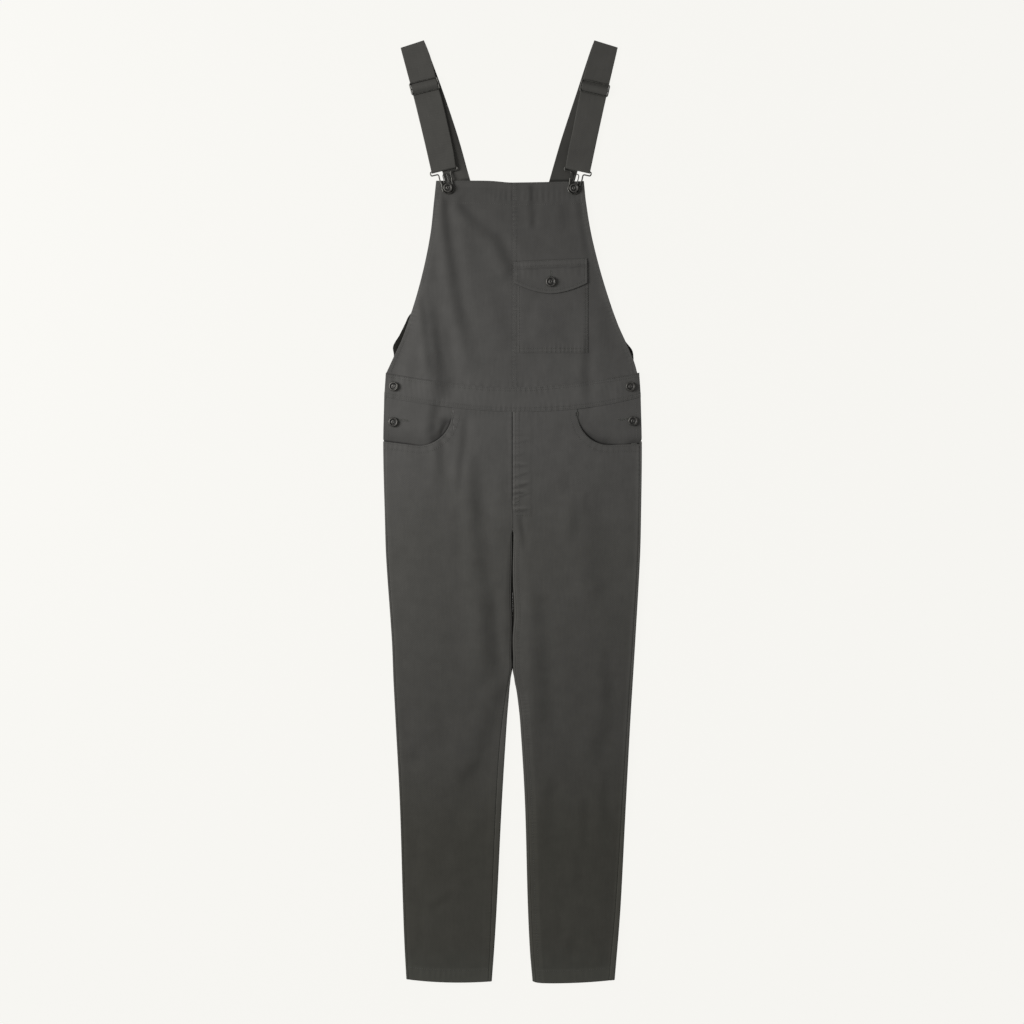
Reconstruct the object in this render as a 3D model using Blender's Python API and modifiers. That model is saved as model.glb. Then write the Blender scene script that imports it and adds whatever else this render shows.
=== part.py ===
"""Dungarees laid flat on their back, front up, straps folded over at the shoulders.

+X is to the right as seen from the front, +Y runs from the hems to the shoulder folds and +Z is out
of the front. The origin is on the surface that the garment lies on, under its middle.

The tables are in millimetres, and metres are made only where points are handed to Blender. A height
is a distance up the garment from the hems, and a side is "left" or "right" as seen from the front.
Each cloth piece is an open grid of points half way through the cloth, thickened on both sides.
"""
import math
from collections import namedtuple

import bmesh
import bpy
from mathutils import Vector

MM = 0.001
GAP = 0.3

# Driving sizes
GARMENT_LENGTH = 1508.0
CLOTH = 1.0
WAISTBAND_CLOTH = 1.6
STRAP_CLOTH = 1.2
STRAP_WIDTH = 39.2
EDGE_RADIUS = 1.3
BACK_MIDDLE = CLOTH / 2
FRONT_MIDDLE = BACK_MIDDLE + 2 * EDGE_RADIUS
FACING_MIDDLE = CLOTH + GAP + CLOTH / 2
LAYER_STEP = CLOTH + 0.5
LOFT = 1.3

# Heights of the seams, and how the waistband rises to its ends
CROTCH = 741.0
WAIST_SEAM = 915.0
BIB_SEAM = 953.0
WAIST_RISE = 24.0
WAIST_HALF_LOW = 205.2
WAIST_HALF_HIGH = 202.6
BIB_SIDE_SEAM = BIB_SEAM + WAIST_RISE
BIB_TOP = 1283.9
BIB_TOP_DIP = 3.1
BIB_DIP_WIDTH = 26.0
BACK_BIB_TOP = 1141.0
SIDE_SPLIT = 867.0

# Heights of the rows of points up a leg; its edges are rolled over up to the split or the crotch
ROLL_TOP = CROTCH - 4.0
LEG_ROW_STEP = 42.0
LEG_BODY_TOP = 836.0
LEG_ROWS = [LEG_ROW_STEP * k for k in range(18)] + [ROLL_TOP, CROTCH + 5.0, 775.0, 806.0, LEG_BODY_TOP]

BUTTON_RADIUS = 8.5
BIB_BUTTON_RADIUS = 7.6
SIDE_BUTTON_RADIUS = 8.0
BIB_BUTTON_HEAD = 7.4
BUTTON_STEPS = 16
SLIDER_WIRE = 1.1
SLIDER_BAR = 1.0
SLIDER_PITCH = 18.5
HOOK_WIRE = 1.1
HOOK_INNER_WIRE = 0.8

# Levels of the strap's layers, and of the wires that they pass under, over and round
STRAP_LOW = STRAP_CLOTH / 2
STRAP_FOLD_RADIUS = 1.0
STRAP_UPPER = STRAP_LOW + 2 * STRAP_FOLD_RADIUS
HOOK_BAR_Z = 4.1
STRAP_LOOP_RADIUS = HOOK_WIRE + GAP + 0.1 + STRAP_CLOTH / 2
SLIDER_FRAME_Z = 5.75
SLIDER_BAR_Z = 4.1
SLIDER_LOOP_RADIUS = SLIDER_BAR + GAP + STRAP_CLOTH / 2
STRAP_RETURN = SLIDER_BAR_Z - SLIDER_LOOP_RADIUS
STRAP_FRONT_LOW = STRAP_RETURN + STRAP_CLOTH + 1.2 * GAP
STRAP_OVER_BAR = SLIDER_BAR_Z + SLIDER_LOOP_RADIUS + STRAP_CLOTH + GAP

SIGN = {"left": -1.0, "right": 1.0}

# Distances from the middle to the outer and inner edges of a leg laid flat
LegSection = namedtuple("LegSection", "height outer inner")
LEG = {
    "left": [
        LegSection(0, 169.9, 33.1),
        LegSection(50, 172.5, 29.5),
        LegSection(130, 175.5, 24.8),
        LegSection(290, 180.2, 16.8),
        LegSection(420, 187.0, 8.8),
        LegSection(485, 190.0, 4.2),
        LegSection(550, 193.2, 1.8),
        LegSection(680, 202.2, 1.3),
        LegSection(CROTCH, 204.2, 0.6),
        LegSection(860, 207.0, 0.15),
        LegSection(940, 205.4, 0.15),
    ],
    "right": [
        LegSection(0, 163.5, 32.0),
        LegSection(50, 167.5, 27.9),
        LegSection(130, 173.4, 24.3),
        LegSection(290, 181.6, 19.8),
        LegSection(420, 188.6, 12.0),
        LegSection(485, 192.6, 4.6),
        LegSection(550, 196.6, 2.2),
        LegSection(680, 204.0, 2.0),
        LegSection(CROTCH, 205.6, 1.2),
        LegSection(860, 207.0, 0.15),
        LegSection(940, 205.2, 0.15),
    ],
}

# How far the back of a leg rolls over its edges onto the front, at the hem and at the crotch
SeamRoll = namedtuple("SeamRoll", "outer_hem outer_top inner_hem inner_top")
SEAM_ROLL = {
    "left": SeamRoll(4.0, 3.2, 6.8, 2.7),
    "right": SeamRoll(6.0, 3.2, 6.0, 2.7),
}

# How a hem rises from its lowest place, and how far its inner corner is rounded; share runs from the inner to
# the outer edge
Hem = namedtuple("Hem", "low curve lowest_share corner")
HEM = {
    "left": Hem(1.5, 13.3, 0.38, 0.0),
    "right": Hem(0.3, 9.0, 0.22, 3.0),
}

# The scooped pocket mouth: a quarter ellipse from the waistband, then a straight run to the side
Scoop = namedtuple("Scoop", "start corner corner_height side_height")
SCOOP = {
    "left": Scoop(96.0, 150.0, 860.0, SIDE_SPLIT),
    "right": Scoop(103.0, 155.0, 861.0, SIDE_SPLIT - 4.0),
}

# Distances from the middle to the armhole edges of the front and back bibs
BibSection = namedtuple("BibSection", "height edge")
FRONT_BIB = {
    "left": [
        BibSection(976, 202.4),
        BibSection(997, 193.4),
        BibSection(1008, 188.6),
        BibSection(1061, 169.2),
        BibSection(1109, 152.6),
        BibSection(1157, 140.3),
        BibSection(1205, 131.0),
        BibSection(1253, 125.6),
        BibSection(BIB_TOP, 122.2),
    ],
    "right": [
        BibSection(974, 200.4),
        BibSection(997, 194.2),
        BibSection(1029, 181.4),
        BibSection(1061, 167.8),
        BibSection(1109, 151.3),
        BibSection(1157, 137.1),
        BibSection(1205, 125.4),
        BibSection(1253, 117.4),
        BibSection(BIB_TOP, 114.2),
    ],
}
BACK_BIB = {
    "left": [
        BibSection(976, 200.4),
        BibSection(992, 191.4),
        BibSection(1007, 189.6),
        BibSection(1021, 190.8),
        BibSection(1040, 180.6),
        BibSection(1061, 170.8),
        BibSection(1085, 146.0),
        BibSection(1112, 103.0),
        BibSection(BACK_BIB_TOP, 60.0),
    ],
    "right": [
        BibSection(976, 199.0),
        BibSection(990, 193.2),
        BibSection(1003, 193.4),
        BibSection(1015, 191.2),
        BibSection(1030, 180.6),
        BibSection(1061, 162.0),
        BibSection(1085, 137.0),
        BibSection(1112, 98.0),
        BibSection(BACK_BIB_TOP, 54.0),
    ],
}

# The largest folds: soft troughs along a bent line through three places, deepest in the middle
Fold = namedtuple("Fold", "depth width start middle end")
FOLDS = [
    Fold(1.0, 13.0, (-108, 1250), (-100, 1141), (-60, 975)),
    Fold(0.9, 12.0, (-84, 1246), (-38, 1208), (-6, 1145)),
    Fold(0.7, 11.0, (-132, 1093), (-118, 1021), (-100, 962)),
    Fold(0.7, 11.0, (121, 1100), (124, 1020), (121, 955)),
    Fold(1.1, 15.0, (-56, 880), (-58, 740), (-34, 520)),
    Fold(0.9, 15.0, (-20, 475), (-54, 392), (-88, 300)),
    Fold(0.8, 15.0, (94, 790), (104, 700), (110, 600)),
    Fold(1.0, 15.0, (34, 640), (50, 440), (58, 280)),
    Fold(0.8, 14.0, (142, 530), (152, 440), (146, 250)),
]

# The chest pocket and its flap
POCKET_SIDES = (8.5, 121.3)
POCKET_HEIGHTS = (1008.0, 1140.0)
FLAP_SIDES = (2.2, 119.7)
FLAP_TOP = (1155.0, 1160.0)
FLAP_SIDE_BOTTOM = 1120.0
FLAP_POINT = 17.0

# Where each strap folds over the shoulder, where its hook end lies, how far its front run bows to the right,
# and how its back run leans
Strap = namedtuple("Strap", "fold hook_end bow back_lean slider_height")
STRAP = {
    "left": Strap((-160.5, 1503.1), (-110.0, 1299.8), 1.5, 0.345, 1434.4),
    "right": Strap((149.7, 1503.3), (104.4, 1299.4), -0.9, 0.330, 1431.3),
}

# How much wider a front run is pressed on its inner side, at distances down along it
Spread = namedtuple("Spread", "height inner")
STRAP_SPREAD = {
    "left": [Spread(0, 0.8), Spread(14, 2.0), Spread(28, 3.2), Spread(44, 3.4), Spread(60, 2.8), Spread(82, 2.8),
             Spread(95, 3.6), Spread(125, 3.4), Spread(160, 3.1), Spread(190, 2.0), Spread(204, 0.7),
             Spread(215, 0.6)],
    "right": [Spread(0, 0.6), Spread(14, 1.0), Spread(28, 2.2), Spread(44, 3.0), Spread(60, 2.8), Spread(82, 2.8),
              Spread(98, 2.9), Spread(110, 2.5), Spread(125, 1.5), Spread(150, 1.3), Spread(175, 1.8),
              Spread(190, 1.5), Spread(204, 0.7), Spread(215, 0.6)],
}

# How far a back run strays inwards from its straight lean, at distances down from the fold
Stray = namedtuple("Stray", "height inward")
BACK_STRAY = {
    "left": [Stray(0, 0.0), Stray(40, 1.4), Stray(90, 2.2), Stray(160, 1.2), Stray(210, -2.4), Stray(250, -4.0),
             Stray(361, -2.0)],
    "right": [Stray(0, 0.6), Stray(40, 0.8), Stray(90, 0.5), Stray(160, 0.5), Stray(210, -1.5), Stray(250, -2.8),
              Stray(361, -0.8)],
}

# Centres of the buttons
BIB_BUTTON = {"left": (-103.2, 1272.2), "right": (98.3, 1271.7)}
FLAP_BUTTON = (61.3, 1122.0)
SIDE_BUTTON_UPPER = {"left": (-190.4, 955.0), "right": (188.6, 954.5)}
SIDE_BUTTON_LOWER = {"left": (-190.7, 898.0), "right": (192.6, 899.5)}


def clear_scene():
    for thing in list(bpy.data.objects):
        bpy.data.objects.remove(thing, do_unlink=True)


def make_collection(name):
    collection = bpy.data.collections.new(name)
    bpy.context.scene.collection.children.link(collection)
    return collection


def make_material(name, colour, roughness, metallic):
    material = bpy.data.materials.new(name)
    material.use_nodes = True
    shader = material.node_tree.nodes["Principled BSDF"]
    shader.inputs["Base Color"].default_value = (*colour, 1.0)
    shader.inputs["Roughness"].default_value = roughness
    shader.inputs["Metallic"].default_value = metallic
    return material


def mix(low, high, share):
    return low + (high - low) * share


def ease(share):
    """Go from 0 to 1 with level ends."""
    share = min(max(share, 0.0), 1.0)
    return share * share * (3.0 - 2.0 * share)


def read(table, column, height):
    """Read a column of a table at a height, on a smooth curve through the rows."""
    last = len(table) - 1
    height = min(max(height, table[0].height), table[last].height)
    low = max(i for i in range(last) if table[i].height <= height)
    row_before = table[max(low - 1, 0)]
    row_low = table[low]
    row_high = table[low + 1]
    row_after = table[min(low + 2, last)]
    span = row_high.height - row_low.height
    share = (height - row_low.height) / span
    value_low = getattr(row_low, column)
    value_high = getattr(row_high, column)
    slope_low = (value_high - getattr(row_before, column)) / (row_high.height - row_before.height)
    slope_high = (getattr(row_after, column) - value_low) / (row_after.height - row_low.height)
    bend_low = share * (1.0 - share) ** 2
    bend_high = share ** 2 * (1.0 - share)
    steady = mix(value_low, value_high, ease(share))
    return steady + span * (slope_low * bend_low - slope_high * bend_high)


def to_point(x, height, z):
    return Vector((x, height - GARMENT_LENGTH / 2, z)) * MM


def side_of(x):
    return "left" if x < 0 else "right"


def fold_line_point(fold, share):
    """A place on the bent line of a fold, which passes through its middle."""
    passes = [2.0 * fold.middle[k] - (fold.start[k] + fold.end[k]) / 2 for k in range(2)]
    rest = 1.0 - share
    return [rest * rest * fold.start[k] + 2.0 * rest * share * passes[k] + share * share * fold.end[k]
            for k in range(2)]


def fold_depth(x, height):
    """How much the folds lower the front here."""
    depth = 0.0
    steps = 12
    for fold in FOLDS:
        places = [fold_line_point(fold, k / steps) for k in range(steps + 1)]
        distances = [math.hypot(place[0] - x, place[1] - height) for place in places]
        nearest = min(distances)
        share = distances.index(nearest) / steps
        taper = 0.35 + 0.65 * math.sin(math.pi * share)
        depth += fold.depth * taper * math.exp(-((nearest / fold.width) ** 2))
    return depth


def edge_distance(x, height):
    """The distance in from the nearest edge of the front."""
    side = side_of(x)
    across = abs(x)
    if height > BIB_SIDE_SEAM:
        return read(FRONT_BIB[side], "edge", height) - across
    outer = read(LEG[side], "outer", height) - across
    inner = across - read(LEG[side], "inner", height) + max(0.0, height - CROTCH + 16.0) * 0.6
    return min(outer, inner)


def front_middle(x, height):
    """The middle of the front cloth: low at the edges, lofted inside them, with the folds in it."""
    inside = edge_distance(x, height)
    puff = ease(inside / 38.0)
    flat_top = 1.0 - 0.75 * ease((height - 1225.0) / 45.0)
    lift = max(0.0, LOFT * flat_top - fold_depth(x, height))
    droop = 2.0 * (1.0 - ease(inside / 14.0)) * ease((height - 1078.0) / 25.0)
    return FRONT_MIDDLE + puff * lift - droop


def waist_lift(x):
    """The waistband rises towards the sides."""
    return WAIST_RISE * (abs(x) / WAIST_HALF_LOW) ** 2.5


def scoop_height(side, x, margin=0.0):
    """The lower edge of the pocket mouth, or a line a margin outside it."""
    scoop = SCOOP[side]
    across = abs(x)
    if across >= scoop.corner:
        share = (across - scoop.corner) / (WAIST_HALF_LOW - scoop.corner)
        return mix(scoop.corner_height, scoop.side_height, share) - margin
    reach = scoop.corner - scoop.start + margin
    drop = WAIST_SEAM - scoop.corner_height + margin
    share = min((scoop.corner - across) / reach, 1.0)
    return WAIST_SEAM - drop * math.sqrt(1.0 - share * share)


def add_object(name, mesh, collection, material):
    mesh.materials.append(material)
    thing = bpy.data.objects.new(name, mesh)
    collection.objects.link(thing)
    return thing


def add_cloth(name, grid, thickness, collection, material, leave_out=None):
    """One piece of cloth from a grid of mid-cloth points; leave_out(row, column) skips faces."""
    shape = bmesh.new()
    verts = [[shape.verts.new(point) for point in row] for row in grid]
    for row in range(len(grid) - 1):
        for column in range(len(grid[0]) - 1):
            if leave_out and leave_out(row, column):
                continue
            shape.faces.new((
                verts[row][column],
                verts[row][column + 1],
                verts[row + 1][column + 1],
                verts[row + 1][column],
            ))
    loose = [vert for vert in shape.verts if not vert.link_faces]
    bmesh.ops.delete(shape, geom=loose, context="VERTS")
    mesh = bpy.data.meshes.new(name)
    shape.to_mesh(mesh)
    shape.free()
    mesh.shade_smooth()
    piece = add_object(name, mesh, collection, material)
    solidify = piece.modifiers.new("Cloth thickness", "SOLIDIFY")
    solidify.thickness = thickness * MM
    solidify.offset = 0.0
    solidify.use_even_offset = True
    return piece


def leg_edges(side, height):
    """The outer and inner edges of a leg, and how far the back rolls over each."""
    roll = SEAM_ROLL[side]
    share = height / CROTCH
    outer = read(LEG[side], "outer", height)
    inner = read(LEG[side], "inner", height)
    outer_roll = mix(roll.outer_hem, roll.outer_top, min(share, 1.0))
    inner_roll = mix(roll.inner_hem, roll.inner_top, share) if height <= ROLL_TOP else 0.0
    return outer, inner, outer_roll, inner_roll


def leg_row_height(side, height, share):
    hem = HEM[side]
    lift = hem.low + hem.curve * (share - hem.lowest_share) ** 2 + hem.corner * math.exp(-24.0 * max(share, 0.0))
    return height + lift * (1.0 - ease(height / 90.0))


def build_front_leg(side, collection, material):
    scoop = SCOOP[side]
    flat_end = read(LEG[side], "outer", SIDE_SPLIT) - SEAM_ROLL[side].outer_top
    top_places = [scoop.start * k / 5 for k in range(5)]
    reach = scoop.corner - scoop.start
    top_places += [scoop.corner - reach * math.cos(math.radians(angle)) for angle in range(0, 91, 18)]
    top_places += [mix(scoop.corner, flat_end, k / 4) for k in range(1, 5)]
    columns = len(top_places)

    def across_at(height, column):
        outer, inner, outer_roll, inner_roll = leg_edges(side, height)
        even = column / (columns - 1)
        share = mix(even, top_places[column] / flat_end, ease((height - 560.0) / 250.0))
        low = inner + inner_roll + GAP / 2 * (inner_roll > 0.0)
        high = outer - outer_roll - GAP / 2
        return mix(low, high, share), share

    grid = []
    for height in LEG_ROWS:
        row = []
        for column in range(columns):
            across, share = across_at(height, column)
            x = SIGN[side] * across
            level = leg_row_height(side, height, share)
            row.append(to_point(x, level, front_middle(x, level)))
        grid.append(row)
    for up in (0.4, 0.75, 1.0):
        row = []
        for column, place in enumerate(top_places):
            body_across = across_at(LEG_BODY_TOP, column)[0]
            x = SIGN[side] * mix(body_across, max(place, GAP / 2), up)
            if place < scoop.start:
                top = WAIST_SEAM + waist_lift(x) - GAP
            else:
                top = scoop_height(side, place) - GAP
            level = mix(LEG_BODY_TOP, top, up)
            row.append(to_point(x, level, front_middle(x, level)))
        grid.append(row)
    return add_cloth("front_leg_" + side, grid, CLOTH, collection, material)


def build_back_leg(side, collection, material):
    """The back lies flat, and below the crotch its edges roll up and over onto the front."""
    bend_steps = 5
    flat_columns = 6
    bend = EDGE_RADIUS + CLOTH / 2

    def rolled_edge(edge, roll, inward):
        """From the seam on the front, round the edge and down to the flat back."""
        middle = edge + inward * bend
        points = [(edge + inward * (roll - GAP / 2), FRONT_MIDDLE)]
        for k in range(bend_steps + 1):
            angle = math.pi * k / bend_steps
            points.append((
                middle - inward * EDGE_RADIUS * math.sin(angle),
                BACK_MIDDLE + EDGE_RADIUS * (1.0 + math.cos(angle)),
            ))
        return points

    heights = LEG_ROWS + [SIDE_SPLIT - GAP]
    grid = []
    for height in heights:
        outer, inner, outer_roll, inner_roll = leg_edges(side, height)
        start = rolled_edge(inner, inner_roll, 1.0)
        finish = rolled_edge(outer, outer_roll, -1.0)[::-1]
        if height > ROLL_TOP:
            start[-1] = (GAP / 2, BACK_MIDDLE)
        low = start[-1][0]
        high = finish[0][0]
        flat = [(mix(low, high, k / flat_columns), BACK_MIDDLE) for k in range(1, flat_columns)]
        line = start + flat + finish
        row = []
        for across, z in line:
            share = (across - inner) / (outer - inner)
            row.append(to_point(SIGN[side] * across, leg_row_height(side, height, share), z))
        grid.append(row)
    columns = len(grid[0])
    last_flat = columns - bend_steps - 2
    last_outer_roll = len(grid) - 1
    last_inner_roll = heights.index(ROLL_TOP)
    side_edge = read(LEG[side], "outer", WAIST_SEAM) - 1.0
    for up in (0.5, 1.0):
        row = []
        for column in range(columns):
            x = grid[last_outer_roll][column].x / MM if column < last_flat else SIGN[side] * side_edge
            top = WAIST_SEAM + waist_lift(x) - GAP
            row.append(to_point(x, mix(SIDE_SPLIT - GAP, top, up), BACK_MIDDLE))
        grid.append(row)

    def leave_out(row, column):
        inner_roll_over = column <= bend_steps and row >= last_inner_roll
        outer_roll_over = column >= last_flat and row >= last_outer_roll
        return inner_roll_over or outer_roll_over

    return add_cloth("back_leg_" + side, grid, CLOTH, collection, material, leave_out)


def build_hip_facing(side, collection, material):
    """The piece that shows inside the pocket mouth; it runs on under the front leg and waistband."""
    scoop = SCOOP[side]
    underlap = 12.0
    waist_underlap = 8.0
    reach = scoop.corner - scoop.start + underlap
    places = [scoop.corner - reach * math.cos(math.radians(angle)) for angle in range(15, 91, 15)]
    places += [mix(scoop.corner, WAIST_HALF_LOW, k / 3) for k in range(1, 4)]

    def side_edge(height):
        """Tucked inside the rolled edge of the leg, and out at the garment's edge above that."""
        tuck = mix(2.5, 0.4, ease((height - SIDE_SPLIT - 2.0) / 12.0))
        return read(LEG[side], "outer", height) - tuck

    grid = []
    for up in (0.0, 0.33, 0.66, 1.0):
        row = []
        for place in places:
            low = scoop_height(side, place, underlap)
            high = WAIST_SEAM + waist_lift(place) + waist_underlap
            height = mix(low, high, up)
            out = max(0.0, (place - scoop.corner) / (WAIST_HALF_LOW - scoop.corner))
            across = mix(place, side_edge(height), out) if out == 1.0 else place
            row.append(to_point(SIGN[side] * across, height, FACING_MIDDLE))
        grid.append(row)
    return add_cloth("hip_facing_" + side, grid, CLOTH, collection, material)


def waistband_grid(columns, side_inset, middle_of):
    """A band that follows the waist seam; middle_of(x, height) gives the middle of its cloth."""
    grid = []
    for k in range(4):
        up = k / 3
        row = []
        for column in range(columns + 1):
            share = 2.0 * column / columns - 1.0
            half = mix(WAIST_HALF_LOW, WAIST_HALF_HIGH, up) - side_inset
            x = half * share
            height = mix(WAIST_SEAM, BIB_SEAM - GAP, up) + WAIST_RISE * abs(share) ** 2.5
            row.append(to_point(x, height, middle_of(x, height)))
        grid.append(row)
    return grid


def build_waistbands(collection, material):
    raised = (WAISTBAND_CLOTH - CLOTH) / 2
    front = waistband_grid(22, 0.0, lambda x, height: front_middle(x, height) + raised)
    add_cloth("waistband_front", front, WAISTBAND_CLOTH, collection, material)
    back = waistband_grid(6, 1.0, lambda x, height: BACK_MIDDLE)
    add_cloth("waistband_back", back, CLOTH, collection, material)


def build_front_bib(side, collection, material):
    table = FRONT_BIB[side]
    rows = 14
    columns = 10
    grid = []
    for k in range(rows + 1):
        up = k / rows
        edge = read(table, "edge", mix(BIB_SIDE_SEAM, BIB_TOP, up))
        row = []
        for column in range(columns + 1):
            share = column / columns
            x = SIGN[side] * mix(GAP / 2, edge, share)
            bottom = BIB_SEAM + WAIST_RISE * share ** 2.5
            if side == "left":
                top = BIB_TOP - BIB_TOP_DIP * math.exp(-(x / BIB_DIP_WIDTH) ** 2)
            else:
                top = BIB_TOP - mix(BIB_TOP_DIP, 0.8, share ** 1.3)
            height = mix(bottom, top, up)
            row.append(to_point(x, height, front_middle(x, height)))
        grid.append(row)
    return add_cloth("bib_" + side, grid, CLOTH, collection, material)


def build_back_bib(collection, material):
    rows = 9
    columns = 6
    grid = []
    for k in range(rows + 1):
        up = k / rows
        row = []
        for column in range(-columns // 2, columns // 2 + 1):
            side = side_of(column)
            share = abs(column) / (columns / 2)
            side_height = mix(BIB_SIDE_SEAM, BACK_BIB_TOP, up)
            x = SIGN[side] * share * read(BACK_BIB[side], "edge", side_height)
            height = mix(BIB_SEAM + WAIST_RISE * share ** 2.5, BACK_BIB_TOP, up)
            row.append(to_point(x, height, BACK_MIDDLE))
        grid.append(row)
    return add_cloth("back_bib", grid, CLOTH, collection, material)


def build_chest_pocket(collection, material):
    grid = []
    for k in range(8):
        height = mix(*POCKET_HEIGHTS, k / 7)
        row = []
        for column in range(7):
            x = mix(*POCKET_SIDES, column / 6)
            row.append(to_point(x, height, front_middle(x, height) + LAYER_STEP))
        grid.append(row)
    return add_cloth("chest_pocket", grid, CLOTH, collection, material)


def flap_middle(x, height):
    """The flap is sewn down along its top and lies on the pocket below that."""
    over_pocket = ease((FLAP_TOP[0] - height) / 13.0)
    return front_middle(x, height) + LAYER_STEP * (1.0 + over_pocket)


def build_pocket_flap(collection, material):
    grid = []
    for k in range(6):
        down = k / 5
        row = []
        for column in range(9):
            share = column / 8
            x = mix(*FLAP_SIDES, share)
            top = mix(*FLAP_TOP, share)
            bottom = FLAP_SIDE_BOTTOM - FLAP_POINT * (1.0 - abs(2.0 * share - 1.0) ** 1.8)
            height = mix(top, bottom, down)
            row.append(to_point(x, height, flap_middle(x, height)))
        grid.append(row)
    return add_cloth("pocket_flap", grid, CLOTH, collection, material)


class StrapFrame:
    """Places on a strap's front run: along it from the fold, across it and up from the surface."""

    def __init__(self, side):
        self.side = side
        self.strap = STRAP[side]
        fold_x, fold_height = self.strap.fold
        end_x, end_height = self.strap.hook_end
        self.length = math.hypot(end_x - fold_x, end_height - fold_height)
        self.down = ((end_x - fold_x) / self.length, (end_height - fold_height) / self.length)
        self.across = (-self.down[1], self.down[0])
        self.slider = (fold_height - self.strap.slider_height) / -self.down[1]

    def place(self, along, across, z):
        """A point in metres; across is to the right as seen from the front."""
        across += self.strap.bow * math.sin(math.pi * min(max(along / self.length, 0.0), 1.0))
        x = self.strap.fold[0] + along * self.down[0] + across * self.across[0]
        height = self.strap.fold[1] + along * self.down[1] + across * self.across[1]
        return to_point(x, height, z)


def front_run(frame):
    """Rows (along, z) of the front run: under, over and under the slider's bars, then to the hook."""
    bar = frame.slider
    half = SLIDER_PITCH / 2
    end = frame.length - STRAP_LOOP_RADIUS - STRAP_CLOTH / 2
    top_of_loop = HOOK_BAR_Z + STRAP_LOOP_RADIUS
    return [
        (14.0, STRAP_UPPER),
        (bar - 19.0, STRAP_UPPER),
        (bar - half - 1.5, STRAP_FRONT_LOW - 0.3),
        (bar - half + 2.0, STRAP_FRONT_LOW + 0.1),
        (bar - 3.6, STRAP_OVER_BAR - 0.9),
        (bar - 1.4, STRAP_OVER_BAR),
        (bar + 1.4, STRAP_OVER_BAR),
        (bar + 3.6, STRAP_OVER_BAR - 0.9),
        (bar + half - 2.0, STRAP_FRONT_LOW + 0.2),
        (bar + half + 1.5, STRAP_FRONT_LOW),
        (bar + 26.0, STRAP_FRONT_LOW),
        (end - 34.0, STRAP_FRONT_LOW + 0.2),
        (end - 18.0, mix(STRAP_FRONT_LOW, top_of_loop, 0.6)),
        (end - 8.0, top_of_loop - 0.1),
        (end, top_of_loop),
    ]


def build_strap(side, collection, material):
    """One long strip: up the back, over the shoulder fold, down to the hook and back to the slider."""
    frame = StrapFrame(side)
    strap = STRAP[side]
    sign = SIGN[side]
    half = STRAP_WIDTH / 2
    rows = []

    back_lean = math.atan(strap.back_lean)
    front_lean = math.atan2(abs(frame.down[0]), -frame.down[1])
    fold_lean = mix(front_lean, back_lean, 0.8)
    fold_x, fold_height = strap.fold
    fold_inset = STRAP_FOLD_RADIUS + STRAP_CLOTH / 2

    def slanted_row(x, height, z, lean):
        """A row square to a run that leans by this much from straight up."""
        step = (half * math.cos(lean), -sign * half * math.sin(lean))
        return [to_point(x + k * step[0], height + k * step[1], z) for k in (-1, 0, 1)]

    def back_place(drop):
        inward = drop * math.tan(back_lean) + read(BACK_STRAY[side], "inward", drop)
        return fold_x - sign * inward, fold_height - drop

    start_x, start_height = back_place(fold_height - BACK_BIB_TOP - GAP)
    level_half = half / math.cos(back_lean)
    rows.append([to_point(start_x + k * level_half, start_height, STRAP_LOW) for k in (-1, 0, 1)])
    for drop in (fold_height - BACK_BIB_TOP - 26.0, 250.0, 210.0, 160.0, 90.0, 40.0, 14.0):
        rows.append(slanted_row(*back_place(drop), STRAP_LOW, back_lean))
    for k in range(7):
        angle = math.pi * k / 6
        inset = fold_inset - STRAP_FOLD_RADIUS * math.sin(angle)
        x = fold_x - sign * inset * math.sin(fold_lean)
        height = fold_height - inset * math.cos(fold_lean)
        z = STRAP_LOW + STRAP_FOLD_RADIUS * (1.0 - math.cos(angle))
        rows.append(slanted_row(x, height, z, fold_lean))

    def flat_row(along, z):
        wider = read(STRAP_SPREAD[side], "inner", along)
        return [frame.place(along, k * half - sign * (1 - k * sign) / 2 * wider, z) for k in (-1, 0, 1)]

    run = front_run(frame)
    rows += [flat_row(along, z) for along, z in run]
    bar_along = run[-1][0]
    for k in range(1, 7):
        angle = math.pi * k / 7
        reach = STRAP_LOOP_RADIUS * math.sin(angle)
        rows.append(flat_row(bar_along + reach, HOOK_BAR_Z + STRAP_LOOP_RADIUS * math.cos(angle)))
    rows.append(flat_row(bar_along, STRAP_RETURN))
    for angle in range(270, 59, -30):
        turn = math.radians(angle)
        along = frame.slider + SLIDER_LOOP_RADIUS * math.cos(turn)
        rows.append(flat_row(along, SLIDER_BAR_Z + SLIDER_LOOP_RADIUS * math.sin(turn)))
    return add_cloth("strap_" + side, rows, STRAP_CLOTH, collection, material)


def add_wire(name, points, radius, cyclic):
    """A round wire through the points, as a closed mesh that a Boolean can join."""
    curve = bpy.data.curves.new(name, "CURVE")
    curve.dimensions = "3D"
    curve.bevel_depth = radius * MM
    curve.bevel_resolution = 2
    curve.use_fill_caps = not cyclic
    spline = curve.splines.new("POLY")
    spline.points.add(len(points) - 1)
    for target, point in zip(spline.points, points):
        target.co = (*point, 1.0)
    spline.use_cyclic_u = cyclic
    wire = bpy.data.objects.new(name, curve)
    bpy.context.scene.collection.objects.link(wire)
    bpy.context.view_layer.update()
    depsgraph = bpy.context.evaluated_depsgraph_get()
    mesh = bpy.data.meshes.new_from_object(wire.evaluated_get(depsgraph))
    shape = bmesh.new()
    shape.from_mesh(mesh)
    bmesh.ops.remove_doubles(shape, verts=shape.verts, dist=0.00001)
    shape.to_mesh(mesh)
    shape.free()
    bpy.data.objects.remove(wire, do_unlink=True)
    return mesh


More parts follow.
